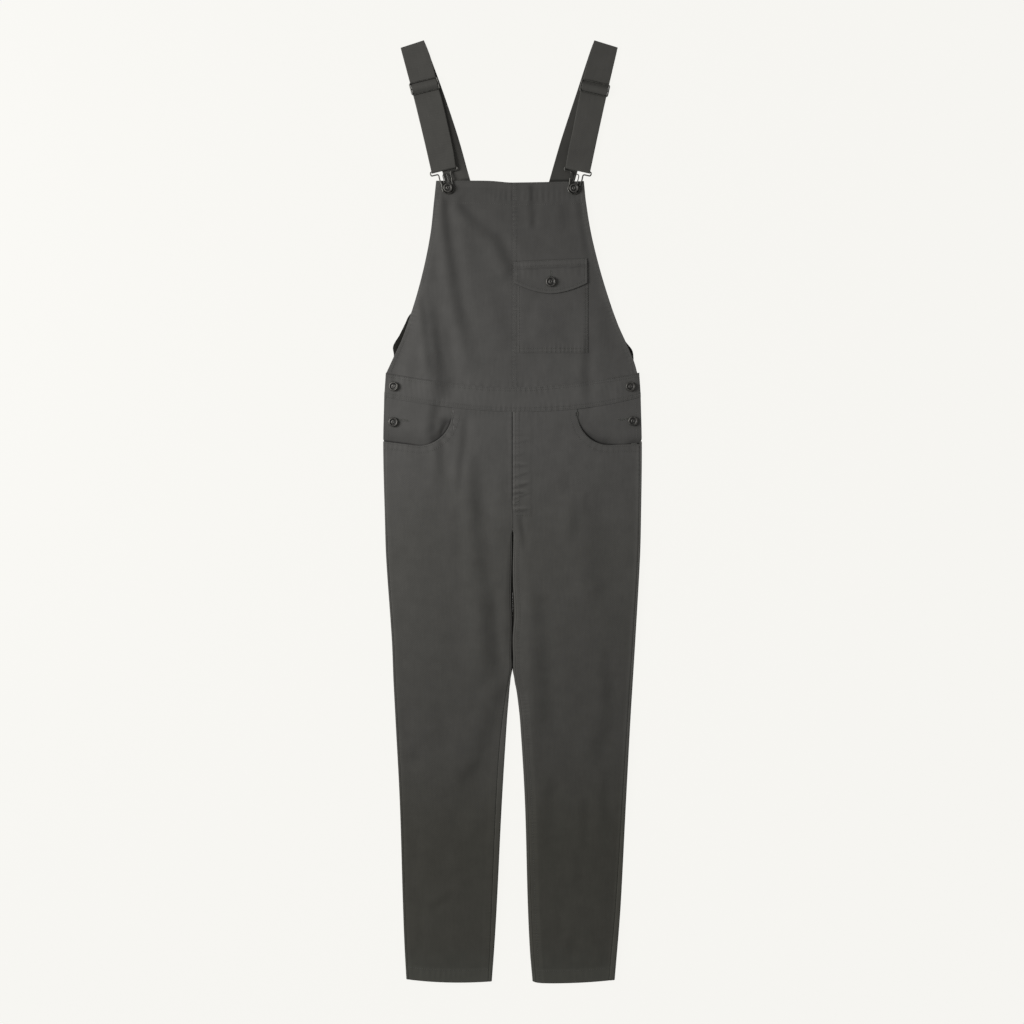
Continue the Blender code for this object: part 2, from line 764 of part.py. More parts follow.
def join_wires(name, outer_mesh, inner_mesh, collection, cutters, material):
    thing = add_object(name, outer_mesh, collection, material)
    inner = add_object(name + "_inner", inner_mesh, cutters, material)
    inner.hide_render = True
    inner.display_type = "WIRE"
    join = thing.modifiers.new("Join the inner wire", "BOOLEAN")
    join.operation = "UNION"
    join.solver = "EXACT"
    join.object = inner
    thing.data.shade_smooth()
    return thing


def build_slider(side, collection, cutters, material):
    """A wire frame with rounded corners, and a middle bar set a little lower."""
    frame = StrapFrame(side)
    corner = 2.2
    half_across = STRAP_WIDTH / 2 + GAP + SLIDER_WIRE
    half_along = SLIDER_PITCH / 2
    inner = -SIGN[side]
    wider = inner * (read(STRAP_SPREAD[side], "inner", frame.slider) + 0.1)
    points = []
    for turn_start, sign_across, sign_along in ((0, 1, 1), (90, -1, 1), (180, -1, -1), (270, 1, -1)):
        for step in (0, 30, 60, 90):
            angle = math.radians(turn_start + step)
            across = sign_across * (half_across - corner) + corner * math.cos(angle)
            across += wider if sign_across == inner else 0.0
            along = sign_along * (half_along - corner) + corner * math.sin(angle)
            points.append(frame.place(frame.slider + along, across, SLIDER_FRAME_Z))
    outline = add_wire("slider_frame", points, SLIDER_WIRE, True)
    bar_points = []
    for across in (inner * half_across + wider, -inner * half_across):
        bar_points.append(frame.place(frame.slider, across, SLIDER_BAR_Z))
    bar = add_wire("slider_bar", bar_points, SLIDER_BAR, False)
    return join_wires("slider_" + side, outline, bar, collection, cutters, material)


def hook_half():
    """Half of the hook's outline: (across, along from the strap's end, z)."""
    low = HOOK_BAR_Z
    high = 5.9
    bar = -(STRAP_LOOP_RADIUS + STRAP_CLOTH / 2)
    shoulder = 3.6
    points = [(19.9, bar, low)]
    middle = (bar + shoulder) / 2
    for angle in (-60, -30, 0, 30, 60):
        turn = math.radians(angle)
        points.append((19.9 + 2.0 * math.cos(turn), middle + (shoulder - middle) * math.sin(turn), low))
    points += [(19.9, shoulder, low), (12.0, shoulder, low)]
    for angle in (30, 60, 90):
        turn = math.radians(angle)
        points.append((12.0 - 2.4 * math.sin(turn), shoulder + 2.4 * (1.0 - math.cos(turn)), low))
    points += [
        (9.6, 10.2, mix(low, high, 0.4)),
        (9.6, 14.7, high),
        (8.6, 19.9, high),
    ]
    for angle in (-24, -2, 20, 42, 65):
        turn = math.radians(angle)
        points.append((9.3 * math.cos(turn), 28.6 + 9.2 * math.sin(turn), high))
    points.append((0.0, 37.8, high))
    return points


def build_hook(side, collection, cutters, material):
    """A wire clip: a bar in the strap's loop, shoulders, and a keyhole that goes round the button."""
    frame = StrapFrame(side)
    half = hook_half()
    whole = half + [(-across, along, z) for across, along, z in half[-2::-1]]
    points = [frame.place(frame.length + along, across, z) for across, along, z in whole]
    outline = add_wire("hook_outline", points, HOOK_WIRE, True)
    high = half[-1][2]
    inner_half = [(1.4, 5.3), (2.8, 6.2), (3.4, 8.0), (3.4, 17.0), (4.4, 19.2), (8.7, 23.6)]
    inner = [(-across, along) for across, along in inner_half[::-1]] + inner_half
    inner_points = []
    for across, along in inner:
        z = mix(HOOK_BAR_Z, high, ease((along - 6.0) / 9.0))
        inner_points.append(frame.place(frame.length + along, across, z))
    keyhole = add_wire("hook_keyhole", inner_points, HOOK_INNER_WIRE, False)
    return join_wires("hook_" + side, outline, keyhole, collection, cutters, material)


def build_button(name, place, base, shank, radius, collection, material):
    """A domed shank button with a dimple, turned about its axis."""
    head = base + shank
    profile = [
        (0.0, head + 2.2),
        (0.25 * radius, head + 2.2),
        (0.42 * radius, head + 3.1),
        (0.72 * radius, head + 2.9),
        (0.93 * radius, head + 2.0),
        (radius, head + 1.1),
        (0.93 * radius, head + 0.2),
        (0.80 * radius, head),
        (0.36 * radius, head),
        (0.36 * radius, base),
        (0.0, base),
    ]
    mesh = bpy.data.meshes.new(name)
    points = [(across * MM, 0.0, z * MM) for across, z in profile]
    edges = [(k, k + 1) for k in range(len(points) - 1)]
    mesh.from_pydata(points, edges, [])
    button = add_object(name, mesh, collection, material)
    button.location = to_point(place[0], place[1], 0.0)
    screw = button.modifiers.new("Turn", "SCREW")
    screw.axis = "Z"
    screw.angle = 2.0 * math.pi
    screw.steps = BUTTON_STEPS
    screw.render_steps = BUTTON_STEPS
    screw.use_merge_vertices = True
    screw.merge_threshold = 0.00001
    screw.use_smooth_shade = True
    return button


def build_buttons(collection, material):
    lift = CLOTH / 2 + 1.3 * GAP
    for side in SIGN:
        x, height = BIB_BUTTON[side]
        base = front_middle(x, height) + lift
        shank = BIB_BUTTON_HEAD - base
        build_button("button_bib_" + side, (x, height), base, shank, BIB_BUTTON_RADIUS, collection, material)
        x, height = SIDE_BUTTON_UPPER[side]
        base = front_middle(x, height) + (WAISTBAND_CLOTH - CLOTH) / 2 + WAISTBAND_CLOTH / 2 + 1.3 * GAP
        name = "button_side_upper_" + side
        build_button(name, (x, height), base, 1.0, SIDE_BUTTON_RADIUS, collection, material)
        x, height = SIDE_BUTTON_LOWER[side]
        base = FACING_MIDDLE + CLOTH / 2 + GAP
        name = "button_side_lower_" + side
        build_button(name, (x, height), base, 1.0, SIDE_BUTTON_RADIUS, collection, material)
    x, height = FLAP_BUTTON
    base = flap_middle(x, height) + lift
    build_button("button_flap", (x, height), base, 1.0, BUTTON_RADIUS, collection, material)


def build():
    clear_scene()
    collection = make_collection("Dungarees")
    cutters = make_collection("Joined wires")
    twill = make_material("cotton_twill", (0.066, 0.064, 0.057), 0.9, 0.0)
    inside = make_material("cotton_twill_back", (0.052, 0.050, 0.045), 0.92, 0.0)
    webbing = make_material("strap_twill", (0.062, 0.060, 0.054), 0.9, 0.0)
    metal = make_material("blackened_metal", (0.030, 0.030, 0.031), 0.38, 1.0)
    for side in SIGN:
        build_front_leg(side, collection, twill)
        build_back_leg(side, collection, inside)
        build_hip_facing(side, collection, twill)
        build_front_bib(side, collection, twill)
        build_strap(side, collection, webbing)
        build_slider(side, collection, cutters, metal)
        build_hook(side, collection, cutters, metal)
    build_waistbands(collection, twill)
    build_back_bib(collection, inside)
    build_chest_pocket(collection, twill)
    build_pocket_flap(collection, twill)
    build_buttons(collection, metal)


build()
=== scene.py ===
# Dungarees in dark cotton drill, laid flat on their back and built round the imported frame.
# Tables are in millimetres: x to the right, height up the garment from the hems, z off the surface.
import math
from itertools import product

import bpy
import numpy as np
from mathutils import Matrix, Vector


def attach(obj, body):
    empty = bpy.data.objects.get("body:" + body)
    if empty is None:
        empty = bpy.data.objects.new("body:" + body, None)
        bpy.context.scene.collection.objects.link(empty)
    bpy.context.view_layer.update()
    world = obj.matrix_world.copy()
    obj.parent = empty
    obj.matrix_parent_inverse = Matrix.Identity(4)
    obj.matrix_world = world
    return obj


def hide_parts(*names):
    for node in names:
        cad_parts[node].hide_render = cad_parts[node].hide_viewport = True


print("Loading the packed frame")
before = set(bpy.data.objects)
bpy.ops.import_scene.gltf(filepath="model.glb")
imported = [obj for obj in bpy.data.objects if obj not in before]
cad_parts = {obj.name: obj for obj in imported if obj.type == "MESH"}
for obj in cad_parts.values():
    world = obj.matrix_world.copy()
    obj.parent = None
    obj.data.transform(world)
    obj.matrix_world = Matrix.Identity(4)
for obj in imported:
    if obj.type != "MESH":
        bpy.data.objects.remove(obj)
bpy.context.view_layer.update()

millimetre = 0.001
sides = {"left": -1.0, "right": 1.0}
garment = {
    "length": 1508.0,
    "cloth": 1.0,        # thickness of the folded and pressed drill
    "slitTop": 726.0,    # where the legs come together
    "rollTop": 724.0,
    "sideSplit": 867.0,  # foot of the buttoned opening at each side
    "waistSeam": 915.0,
    "bibSeam": 953.0,
    "waistRise": 24.0,
    "waistHalf": 205.2,
    "bibTop": 1283.9,
    "bibDip": 3.1,
    "rim": 0.3,          # a panel's points stop this far inside its outline, and its rounded rim fills it
    "middleGap": 0.12,   # left and right panels stop this far from the middle
}
rim = np.array([garment["rim"], -garment["rim"]])


def mix(low, high, share):
    return low + (high - low) * share


def ease(share):
    share = np.clip(share, 0.0, 1.0)
    return share * share * (3.0 - 2.0 * share)


def bell(distance, width):
    return np.exp(-(distance / width) ** 2)


def readCurve(rows, at, column=1):  # a smooth curve through rows of (place, value, ...)
    places = np.array([row[0] for row in rows], float)
    values = np.array([row[column] for row in rows], float)
    slopes = np.empty_like(values)
    slopes[1:-1] = (values[2:] - values[:-2]) / (places[2:] - places[:-2])
    slopes[0] = (values[1] - values[0]) / (places[1] - places[0])
    slopes[-1] = (values[-1] - values[-2]) / (places[-1] - places[-2])
    at = np.clip(at, places[0], places[-1])
    low = np.clip(np.searchsorted(places, at, side="right") - 1, 0, len(places) - 2)
    span = places[low + 1] - places[low]
    share = (at - places[low]) / span
    bend = slopes[low] * share * (1.0 - share) ** 2 - slopes[low + 1] * share**2 * (1.0 - share)
    return mix(values[low], values[low + 1], ease(share)) + span * bend


def runAlong(line):  # how far along a line each of its points is
    return np.concatenate([[0.0], np.cumsum(np.hypot(*np.diff(line, axis=0).T))])


def smoothLine(places, step=7.0):  # points at about this step along a smooth line through the places
    places = np.array(places, float)
    run = runAlong(places)
    fine = np.linspace(0.0, run[-1], max(int(run[-1] / step), 4) + 1)
    return np.stack([readCurve(list(zip(run, places[:, k])), fine) for k in (0, 1)], axis=1)


def lineFrame(line):  # distance run and unit tangents along a line of points
    tangents = np.gradient(line, axis=0)
    return runAlong(line), tangents / np.linalg.norm(tangents, axis=1)[:, None]


# Which points are within reach of a line, how far along it they are, and how far to its left
def alongLine(x, height, line, reach):
    low = line.min(axis=0) - reach
    high = line.max(axis=0) + reach
    near = (x > low[0]) & (x < high[0]) & (height > low[1]) & (height < high[1])
    run, tangents = lineFrame(line)
    offX = x[near][:, None] - line[:, 0]
    offHeight = height[near][:, None] - line[:, 1]
    nearest = (offX**2 + offHeight**2).argmin(axis=1)
    rows = np.arange(len(nearest))
    offX, offHeight = offX[rows, nearest], offHeight[rows, nearest]
    tangent = tangents[nearest]
    along = run[nearest] + offX * tangent[:, 0] + offHeight * tangent[:, 1]
    across = offHeight * tangent[:, 0] - offX * tangent[:, 1]
    return near, along, across, run[-1]


def unevenWave(along, pitch, seed):  # ripples of about this pitch, whose length and height drift
    drift = 2.1 * np.sin(along / (pitch * 2.7) + seed * 1.7) + 1.6 * np.sin(along / (pitch * 4.9) + seed * 3.1)
    height = 0.5 + 0.3 * np.sin(along / (pitch * 1.9) + seed * 2.3) + 0.3 * np.sin(along / (pitch * 5.3) + seed)
    return np.maximum(height, 0.0) * np.sin(2.0 * math.pi * along / pitch + drift)


# Places from low to high: set distances in from each end, and even ones between
def gradedPlaces(low, high, nearLow, nearHigh, count):
    low = np.asarray(low, float)[..., None]
    high = np.asarray(high, float)[..., None]
    first = low + np.array(nearLow)
    last = high - np.array(nearHigh[::-1])
    share = np.arange(1, count) / count
    middle = first[..., -1:] + (last[..., :1] - first[..., -1:]) * share
    return np.concatenate([first, middle, last], axis=-1)


legShape = {  # (height, outer edge, inner edge), distances from the middle
    "left": [(0, 169.9, 33.1), (50, 172.5, 29.5), (130, 175.5, 24.8), (290, 180.4, 16.9), (420, 187.2, 8.9),
             (458, 189.2, 5.8), (472, 189.9, 4.7), (485, 190.6, 3.3), (550, 193.2, 1.8), (680, 202.2, 1.3),
             (741, 204.2, 0.6), (860, 207.0, 0.15), (940, 205.4, 0.15)],
    "right": [(0, 163.5, 32.0), (50, 167.5, 27.9), (130, 173.4, 24.3), (290, 181.6, 19.8), (420, 188.6, 12.0),
              (458, 190.9, 7.8), (472, 191.8, 5.6), (485, 192.6, 3.1), (550, 196.6, 2.2), (680, 204.0, 2.0),
              (741, 205.6, 1.2), (860, 207.0, 0.15), (940, 205.2, 0.15)],
}
slitShape = {  # (height, inner edge) where the legs lie against each other, in place of legShape's
    "left": [(485, 3.3), (492, 2.4), (496, 2.1), (501, 1.5), (506, 1.1), (511, 1.0), (521, 1.6), (539, 1.5),
             (558, 1.2), (585, 1.1), (613, 2.0), (637, 2.0), (670, 1.0), (696, 0.4), (716, 0.5), (727, 0.4),
             (741, 0.3), (760, 0.15)],
    "right": [(485, 3.1), (492, 2.1), (496, 1.5), (501, 1.0), (506, 0.8), (511, 0.7), (521, 1.0), (539, 0.35),
              (558, 0.4), (585, 2.8), (613, 2.3), (637, 0.9), (670, 0.3), (696, 0.9), (716, 1.5), (727, 0.8),
              (741, 0.4), (760, 0.15)],
}
bibShape = {  # (height, armhole edge)
    "left": [(976, 202.4), (997, 193.4), (1008, 188.6), (1020, 183.2), (1034, 177.0), (1048, 172.0), (1061, 167.4),
             (1109, 152.6), (1157, 140.3), (1205, 131.0), (1253, 125.6), (1284, 122.2)],
    "right": [(974, 200.4), (997, 194.2), (1029, 181.4), (1061, 167.8), (1109, 151.3), (1157, 137.1),
              (1205, 125.4), (1253, 117.4), (1284, 114.2)],
}
# The lowest height of a hem, how it curves up from there, where that is from its inner edge, and how far its
# inner corner is rounded
hemShape = {
    "left": (1.5, 13.3, 0.38, 0.0),
    "right": (0.3, 9.0, 0.22, 3.0),
}
seamRoll = {  # (height, how far the back comes over each edge onto the front)
    "left": {
        "outer": [(0, 4.0), (741, 3.2), (900, 3.2)],
        "inner": [(0, 5.4), (60, 6.6), (133, 8.0), (300, 9.2), (380, 8.8), (455, 5.2), (500, 2.0), (741, 1.5)],
    },
    "right": {
        "outer": [(0, 9.0), (60, 8.6), (133, 7.7), (260, 6.0), (420, 4.4), (741, 3.2), (900, 3.2)],
        "inner": [(0, 6.0), (741, 2.7)],
    },
}
scoopShape = {  # where the pocket mouth starts, its corner, and its height there and at the side
    "left": (96.0, 150.0, 860.0, 867.0),
    "right": (103.0, 155.0, 861.0, 863.0),
}
# How the front rises inside each edge: (height, share of the loft, steep part of it, steep width, whole width)
puffShape = {
    "left": {
        "outer": [(0, 1.0, 0.12, 10.0, 40.0), (400, 1.0, 0.13, 11.0, 55.0), (950, 1.0, 0.18, 11.0, 60.0)],
        "inner": [(0, 0.12, 0.0, 8.0, 18.0), (390, 0.18, 0.2, 8.0, 20.0), (470, 0.5, 0.6, 8.0, 28.0),
                  (560, 1.0, 0.72, 10.0, 34.0), (660, 0.9, 0.72, 9.0, 34.0), (730, 0.5, 0.3, 8.0, 34.0)],
        "bib": [(950, 1.0, 0.2, 10.0, 60.0), (1284, 1.0, 0.2, 10.0, 45.0)],
    },
    "right": {
        "outer": [(0, 0.30, 0.0, 9.0, 40.0), (400, 0.55, 0.0, 9.0, 70.0), (950, 0.6, 0.0, 9.0, 75.0)],
        "inner": [(0, 0.8, 0.3, 6.0, 22.0), (390, 1.0, 0.3, 6.0, 24.0), (520, 1.35, 0.25, 6.0, 30.0),
                  (650, 1.45, 0.3, 5.0, 27.0), (700, 1.25, 0.25, 5.0, 25.0), (730, 0.9, 0.1, 4.0, 25.0)],
        "bib": [(950, 0.7, 0.0, 10.0, 60.0), (1284, 0.5, 0.0, 10.0, 50.0)],
    },
}


def bySide(x, read):  # the value that read gives for the side each point is on
    return np.where(x < 0.0, read("left"), read("right"))


def outerEdge(side, height):
    return readCurve(legShape[side], height, 1)


def innerEdge(side, height):
    slit = slitShape[side]
    return np.where(height < slit[0][0], readCurve(legShape[side], height, 2), readCurve(slit, height))


def waistLift(x):  # how far the waistband's lower seam curves up towards the sides
    share = np.minimum(np.abs(x) / garment["waistHalf"], 1.05)
    return garment["waistRise"] * np.where(np.asarray(x) < 0.0, share**1.65, share**2.4)


def bibLift(x):  # the same for its upper seam
    return garment["waistRise"] * np.minimum(np.abs(x) / garment["waistHalf"], 1.05) ** 1.65


def bibTopHeight(x):
    edge = bibShape["right"][-1][1]
    left = garment["bibTop"] - garment["bibDip"] * bell(x, 26.0)
    right = mix(garment["bibTop"] - garment["bibDip"], garment["bibTop"] - 0.8, np.clip(x / edge, 0.0, 1.0) ** 1.3)
    return np.where(x < 0.0, left, right)


def rollAt(side, height):  # how far the back rolls over the outer and inner edges of a leg
    return readCurve(seamRoll[side]["outer"], height), readCurve(seamRoll[side]["inner"], height)


def scoopLine(side):  # the edge of the pocket mouth from the waistband to the side
    start, corner, low, end = scoopShape[side]
    turns = np.linspace(0.0, math.pi / 2, 24)
    across = corner - (corner - start) * np.cos(turns)
    heights = garment["waistSeam"] - (garment["waistSeam"] - low) * np.sin(turns)
    across = np.append(across, np.linspace(corner, garment["waistHalf"], 10)[1:])
    heights = np.append(heights, np.linspace(low, end, 10)[1:])
    line = np.stack([sides[side] * across, heights], axis=1)
    return line if side == "left" else line[::-1]  # the leg is on its left


def hemLift(side, share):
    low, curve, lowest, corner = hemShape[side]
    return low + curve * (share - lowest) ** 2 + corner * np.exp(-24.0 * np.maximum(share, 0.0))


def hemHeight(side, x):
    outer, inner = legShape[side][0][1:3]
    return hemLift(side, (np.abs(x) - inner) / (outer - inner))


# A fold is a soft drop towards the right of its line, which runs down the garment: how steep it is, how wide,
# how far it takes to fade in and out, and the places (x, height) that it passes through
frontFolds = [
    # from the left bib button down to the waist, and across to the middle
    (0.28, (9, 19), 14, 150, [(-108, 1264), (-107, 1215), (-99, 1155), (-90, 1100), (-79, 1050), (-64, 1000),
                              (-50, 960)]),
    (0.31, (13, 17), 14, 18, [(-94, 1254), (-68, 1226), (-48, 1206), (-27, 1190), (-14, 1162), (3, 1128)]),
    (0.09, 19, 50, 90, [(-50, 1158), (-38, 1120), (-24, 1085), (-12, 1040), (-13, 975)]),
    # under the left armhole, running on through the waistband into the pocket mouth
    (0.43, (15, 25), 120, 40, [(-137, 1136), (-128, 1062), (-120, 1010), (-115, 965), (-112, 920)]),
    (0.36, (6, 9), 45, 40, [(-149, 1116), (-143, 1065), (-137, 1015), (-131, 965)]),
    (0.16, 9, 30, 40, [(-127, 1066), (-119, 1010), (-111, 962)]),
    (0.17, 9, 30, 40, [(-108, 1060), (-103, 1010), (-100, 965), (-98, 930)]),
    (0.30, 12, 40, 20, [(-119, 945), (-127, 905), (-129, 872)]),
    (0.26, 8, 15, 12, [(-111, 912), (-113, 890), (-112, 868)]),
    # soft rises between them
    (-0.13, 11, 20, 60, [(-124, 1262), (-121, 1205), (-114, 1140), (-106, 1085)]),
    (-0.09, 12, 20, 50, [(-90, 1244), (-84, 1190), (-76, 1125), (-66, 1070)]),
    (-0.09, 12, 40, 40, [(-100, 1075), (-88, 1020), (-80, 965)]),
    (-0.17, 14, 30, 30, [(-159, 1086), (-166, 1035), (-178, 985), (-182, 940)]),
    (-0.20, 6, 12, 14, [(-199, 974), (-200, 952), (-199, 925)]),
    # right side of the bib
    (0.32, 8, 8, 12, [(29, 1281), (30, 1262), (31, 1240)]),
    (0.30, 8, 12, 16, [(29, 1250), (31, 1232), (32, 1202)]),
    (0.09, 12, 20, 25, [(81, 1258), (79, 1195)]),
    (0.18, 7, 12, 30, [(104, 1258), (108, 1225), (113, 1195), (120, 1150)]),
    (0.23, (10, 13), 60, 60, [(121, 1066), (117, 1010), (115, 970), (119, 935), (126, 895)]),
    (-0.10, 12, 25, 40, [(36, 1100), (33, 1045), (44, 995), (50, 962)]),
    (0.10, 26, 35, 35, [(72, 1100), (69, 1055), (66, 1010)]),
    (0.09, 17, 30, 40, [(146, 1098), (149, 1040), (161, 980)]),
    # hips
    (0.22, (10, 14), 20, 40, [(-121, 878), (-117, 845), (-116, 815), (-119, 775)]),
    (0.21, 9, 20, 60, [(-78, 917), (-79, 875), (-85, 825), (-86, 760)]),
    (0.11, 15, 30, 40, [(-92, 772), (-90, 720), (-97, 660)]),
    (0.08, 12, 15, 20, [(76, 903), (71, 858)]),
    (0.08, 11, 15, 20, [(84, 822), (79, 772)]),
    (0.24, (6, 9), 10, 40, [(10, 752), (15, 715), (21, 668)]),
    # down the left leg, and from its knee across to the shin
    (0.25, (17, 24), 70, 60, [(-60, 868), (-61, 800), (-58, 745), (-54, 700), (-47, 655), (-41, 610), (-38, 560),
                              (-34, 510), (-27, 462)]),
    (0.15, (18, 32), 40, 60, [(-12, 492), (-27, 446), (-41, 405), (-57, 366), (-77, 327), (-101, 284)]),
    (-0.12, 9, 30, 30, [(-23, 645), (-21, 590), (-18, 545), (-13, 505)]),
    (-0.08, 14, 40, 40, [(-31, 852), (-28, 790), (-26, 735)]),
    (0.07, 13, 20, 25, [(-48, 392), (-58, 352), (-82, 326), (-84, 296)]),
    (-0.08, 16, 30, 30, [(-78, 430), (-92, 392), (-104, 350)]),
    (-0.07, 14, 20, 25, [(-66, 282), (-76, 240), (-72, 215)]),
    (0.07, 22, 40, 40, [(-112, 620), (-104, 560), (-113, 505)]),
    (0.07, 15, 25, 25, [(-132, 468), (-118, 432), (-121, 385)]),
    (0.09, 13, 20, 20, [(-148, 392), (-166, 345)]),
    (0.09, 13, 15, 20, [(-118, 298), (-101, 282), (-93, 252)]),
    (0.10, 10, 12, 15, [(-163, 232), (-149, 203)]),
    (0.11, 10, 15, 20, [(-92, 150), (-112, 135), (-141, 118)]),
    (0.08, 17, 25, 25, [(-84, 212), (-76, 170), (-69, 138)]),
    (0.09, 12, 20, 25, [(-153, 125), (-149, 48)]),
    # right leg
    (0.17, (17, 25), 50, 60, [(39, 655), (42, 600), (44, 540), (48, 480), (50, 430), (47, 375)]),
    (0.15, (12, 18), 25, 50, [(100, 785), (96, 735), (97, 680)]),
    (0.16, 32, 50, 60, [(119, 800), (128, 720), (136, 640), (152, 585)]),
    (0.10, 8, 10, 15, [(118, 790), (114, 750)]),
    (0.13, (12, 22), 30, 50, [(150, 548), (147, 500), (152, 455), (147, 415), (136, 385), (129, 335)]),
    (0.11, (13, 20), 40, 60, [(62, 360), (57, 290), (54, 240), (61, 195)]),
    (0.09, (10, 15), 30, 50, [(145, 352), (146, 290), (148, 225)]),
    (0.09, 11, 25, 25, [(115, 310), (113, 250), (114, 205)]),
    (0.08, 10, 15, 15, [(104, 205), (101, 155)]),
    (0.09, 12, 15, 15, [(97, 85), (86, 36)]),
    (0.08, 10, 12, 12, [(68, 122), (77, 72)]),
    (0.08, 9, 12, 12, [(139, 72), (143, 26)]),
]

# The same kind of soft creases where the back isn't pressed down
backFolds = [
    (0.10, 14, 40, 40, [(-120, 890), (-95, 800), (-88, 690)]),
    (0.10, 14, 40, 40, [(125, 880), (98, 790), (95, 700)]),
    (0.09, 15, 40, 40, [(-70, 620), (-92, 540), (-110, 450)]),
    (0.09, 15, 40, 40, [(72, 600), (88, 520), (118, 440)]),
    (0.08, 14, 30, 30, [(-60, 360), (-90, 300), (-130, 270)]),
    (0.08, 14, 30, 30, [(60, 330), (95, 270), (140, 250)]),
    (0.08, 13, 30, 30, [(-70, 180), (-100, 120), (-110, 60)]),
    (0.08, 13, 30, 30, [(72, 190), (88, 120), (120, 60)]),
    (0.10, 13, 30, 30, [(-110, 1080), (-95, 1030), (-60, 985)]),
    (0.10, 13, 30, 30, [(95, 1085), (88, 1030), (60, 985)]),
]


def foldShift(x, height, folds):  # how far the folds move the cloth up or down
    total = np.zeros_like(x)
    for index, (steepness, width, fadeIn, fadeOut, places) in enumerate(folds):
        start, end = width if isinstance(width, tuple) else (width, width)
        near, along, across, whole = alongLine(x, height, smoothLine(places), 3.0 * max(start, end))
        wide = mix(start, end, np.clip(along / whole, 0.0, 1.0))
        share = across / wide  # the line runs down, so its left is towards +x
        fade = ease(along / fadeIn) * ease((whole - along) / fadeOut)
        uneven = 0.88 + 0.15 * np.sin(along / 31.0 + 2.4 * index) + 0.10 * np.sin(along / 13.0 + 1.1 * index)
        total[near] += steepness * uneven * wide * share * np.exp(-share * share) * fade
    return -total


frontPlan = {  # pairs are a height, and over how far up a change takes place
    "level": 3.1,                           # middle of the cloth at the edges
    "loft": 2.7,                            # how far it puffs up inside them
    "lowest": 2.35, "hardness": 2.6,        # it never sinks into the back, and how sharply it stops
    "armholes": (955.0, 25.0),              # the bib's edges take over from the sides
    "bibPuff": (965.0, 80.0),
    "topHem": (1205.0, 62.0), "topLoft": 0.86,  # the share of the loft that goes towards the top hem
    "legHems": 70.0, "hemLoft": 0.55,       # the share of it that is left at the hems
    "free": (1078.0, 25.0), "freeReach": 14.0,  # the armholes' edges are free above here
    "droop": {"left": -1.7, "right": 0.8},  # the left one droops, and the right one stands up
    "sag": {"left": 1.2, "right": 0.0},     # how far below the lowest it may go
    "ridge": {"left": 0.0, "right": 0.9},   # along the outer edge of a leg
    "ridgeWidth": (12.0, 11.0), "ridgeTop": (840.0, 40.0),
    "calm": 9.0,                            # no folds this near an edge
    "swells": ((0.27, 23.0, 61.0, -71.0, 47.0), (0.12, 9.0, -31.0, 37.0, 23.0)),  # how high, then four wavelengths
    "slitFrom": 700.0,
}


# The middle of the front cloth: low at the edges, lofted inside them, with the folds in it
def frontSurface(x, height):
    shape, x, height = x.shape, x.ravel(), height.ravel()

    def above(key):
        start, over = frontPlan[key]
        return ease((height - start) / over)

    def forSide(key):
        return bySide(x, lambda side: frontPlan[key][side])

    def rise(distance, which):
        share, steep, narrow, wide = (
            bySide(x, lambda side: readCurve(puffShape[side][which], height, k)) for k in range(1, 5))
        return 1.0 - share * (1.0 - mix(ease(distance / wide), ease(distance / narrow), steep))

    outer = mix(bySide(x, lambda side: outerEdge(side, height)),
                bySide(x, lambda side: readCurve(bibShape[side], height, 1)), above("armholes"))
    inner = bySide(x, lambda side: innerEdge(side, height))
    fromOuter = outer - np.abs(x)
    fromInner = np.abs(x) - inner + np.maximum(0.0, height - frontPlan["slitFrom"]) * 0.5
    puff = mix(rise(fromOuter, "outer"), rise(fromOuter, "bib"), above("bibPuff")) * rise(fromInner, "inner")
    loft = (frontPlan["loft"] * (1.0 - frontPlan["topLoft"] * above("topHem"))
            * mix(frontPlan["hemLoft"], 1.0, ease(height / frontPlan["legHems"])))
    free = (1.0 - ease(fromOuter / frontPlan["freeReach"])) * above("free")
    width, slope = frontPlan["ridgeWidth"]
    ridge = forSide("ridge") * ease((width - fromOuter) / slope) * (1.0 - above("ridgeTop"))
    swell = sum(high * np.sin(x / a + height / b) * np.sin(height / d + x / c)
                for high, a, b, c, d in frontPlan["swells"])
    inside = ease(np.minimum(fromOuter, fromInner) / frontPlan["calm"])
    z = frontPlan["level"] + loft * puff + forSide("droop") * free + ridge
    z += inside * (foldShift(x, height, frontFolds) + swell)
    lowest = frontPlan["lowest"] - forSide("sag") * free
    return (lowest + np.logaddexp(0.0, (z - lowest) * frontPlan["hardness"]) / frontPlan["hardness"]).reshape(shape)


backLevel = 0.5  # middle of the back cloth, which lies on the table


def backSurface(x, height):  # flat, with a few creases that stand off the table, as nothing goes below it
    shift = foldShift(x.ravel(), height.ravel(), backFolds).reshape(x.shape)
    return backLevel + 0.75 * np.clip(shift, 0.0, 1.0)


# A seam line has its panel on its left. Distances are in from the line: the band of doubled cloth and how much it
# stands up, the rows of stitches, the puckers across it, and the strip painted pale where it has worn, or dark as a
# painted shadow line.
def seam(line, band=(0.0, 0.0), rise=0.0, rows=(), pucker=0.0, pitch=6.0, reach=6.0, centre=None, seed=1.0, dip=0.0,
         pale=None):
    return {"line": line, "band": band, "rise": rise, "rows": rows, "pucker": pucker, "pitch": pitch,
            "reach": reach, "centre": centre, "seed": seed, "dip": dip, "pale": pale}


def stripe(across, low, high, soft):  # 1 between two distances, and fading out over twice soft
    return ease((across - low + soft) / (2 * soft)) * ease((high + soft - across) / (2 * soft))


# A row of stitches sinks in, and its groove is painted darker as shade; puckers show more as painted light and shade
# than as height
seamPlan = {"groove": 0.12, "grooveShade": 0.25, "grooveWidth": 1.1, "puckerLightAndShade": 2.4, "dipWidth": 1.5, "reach": 30.0}
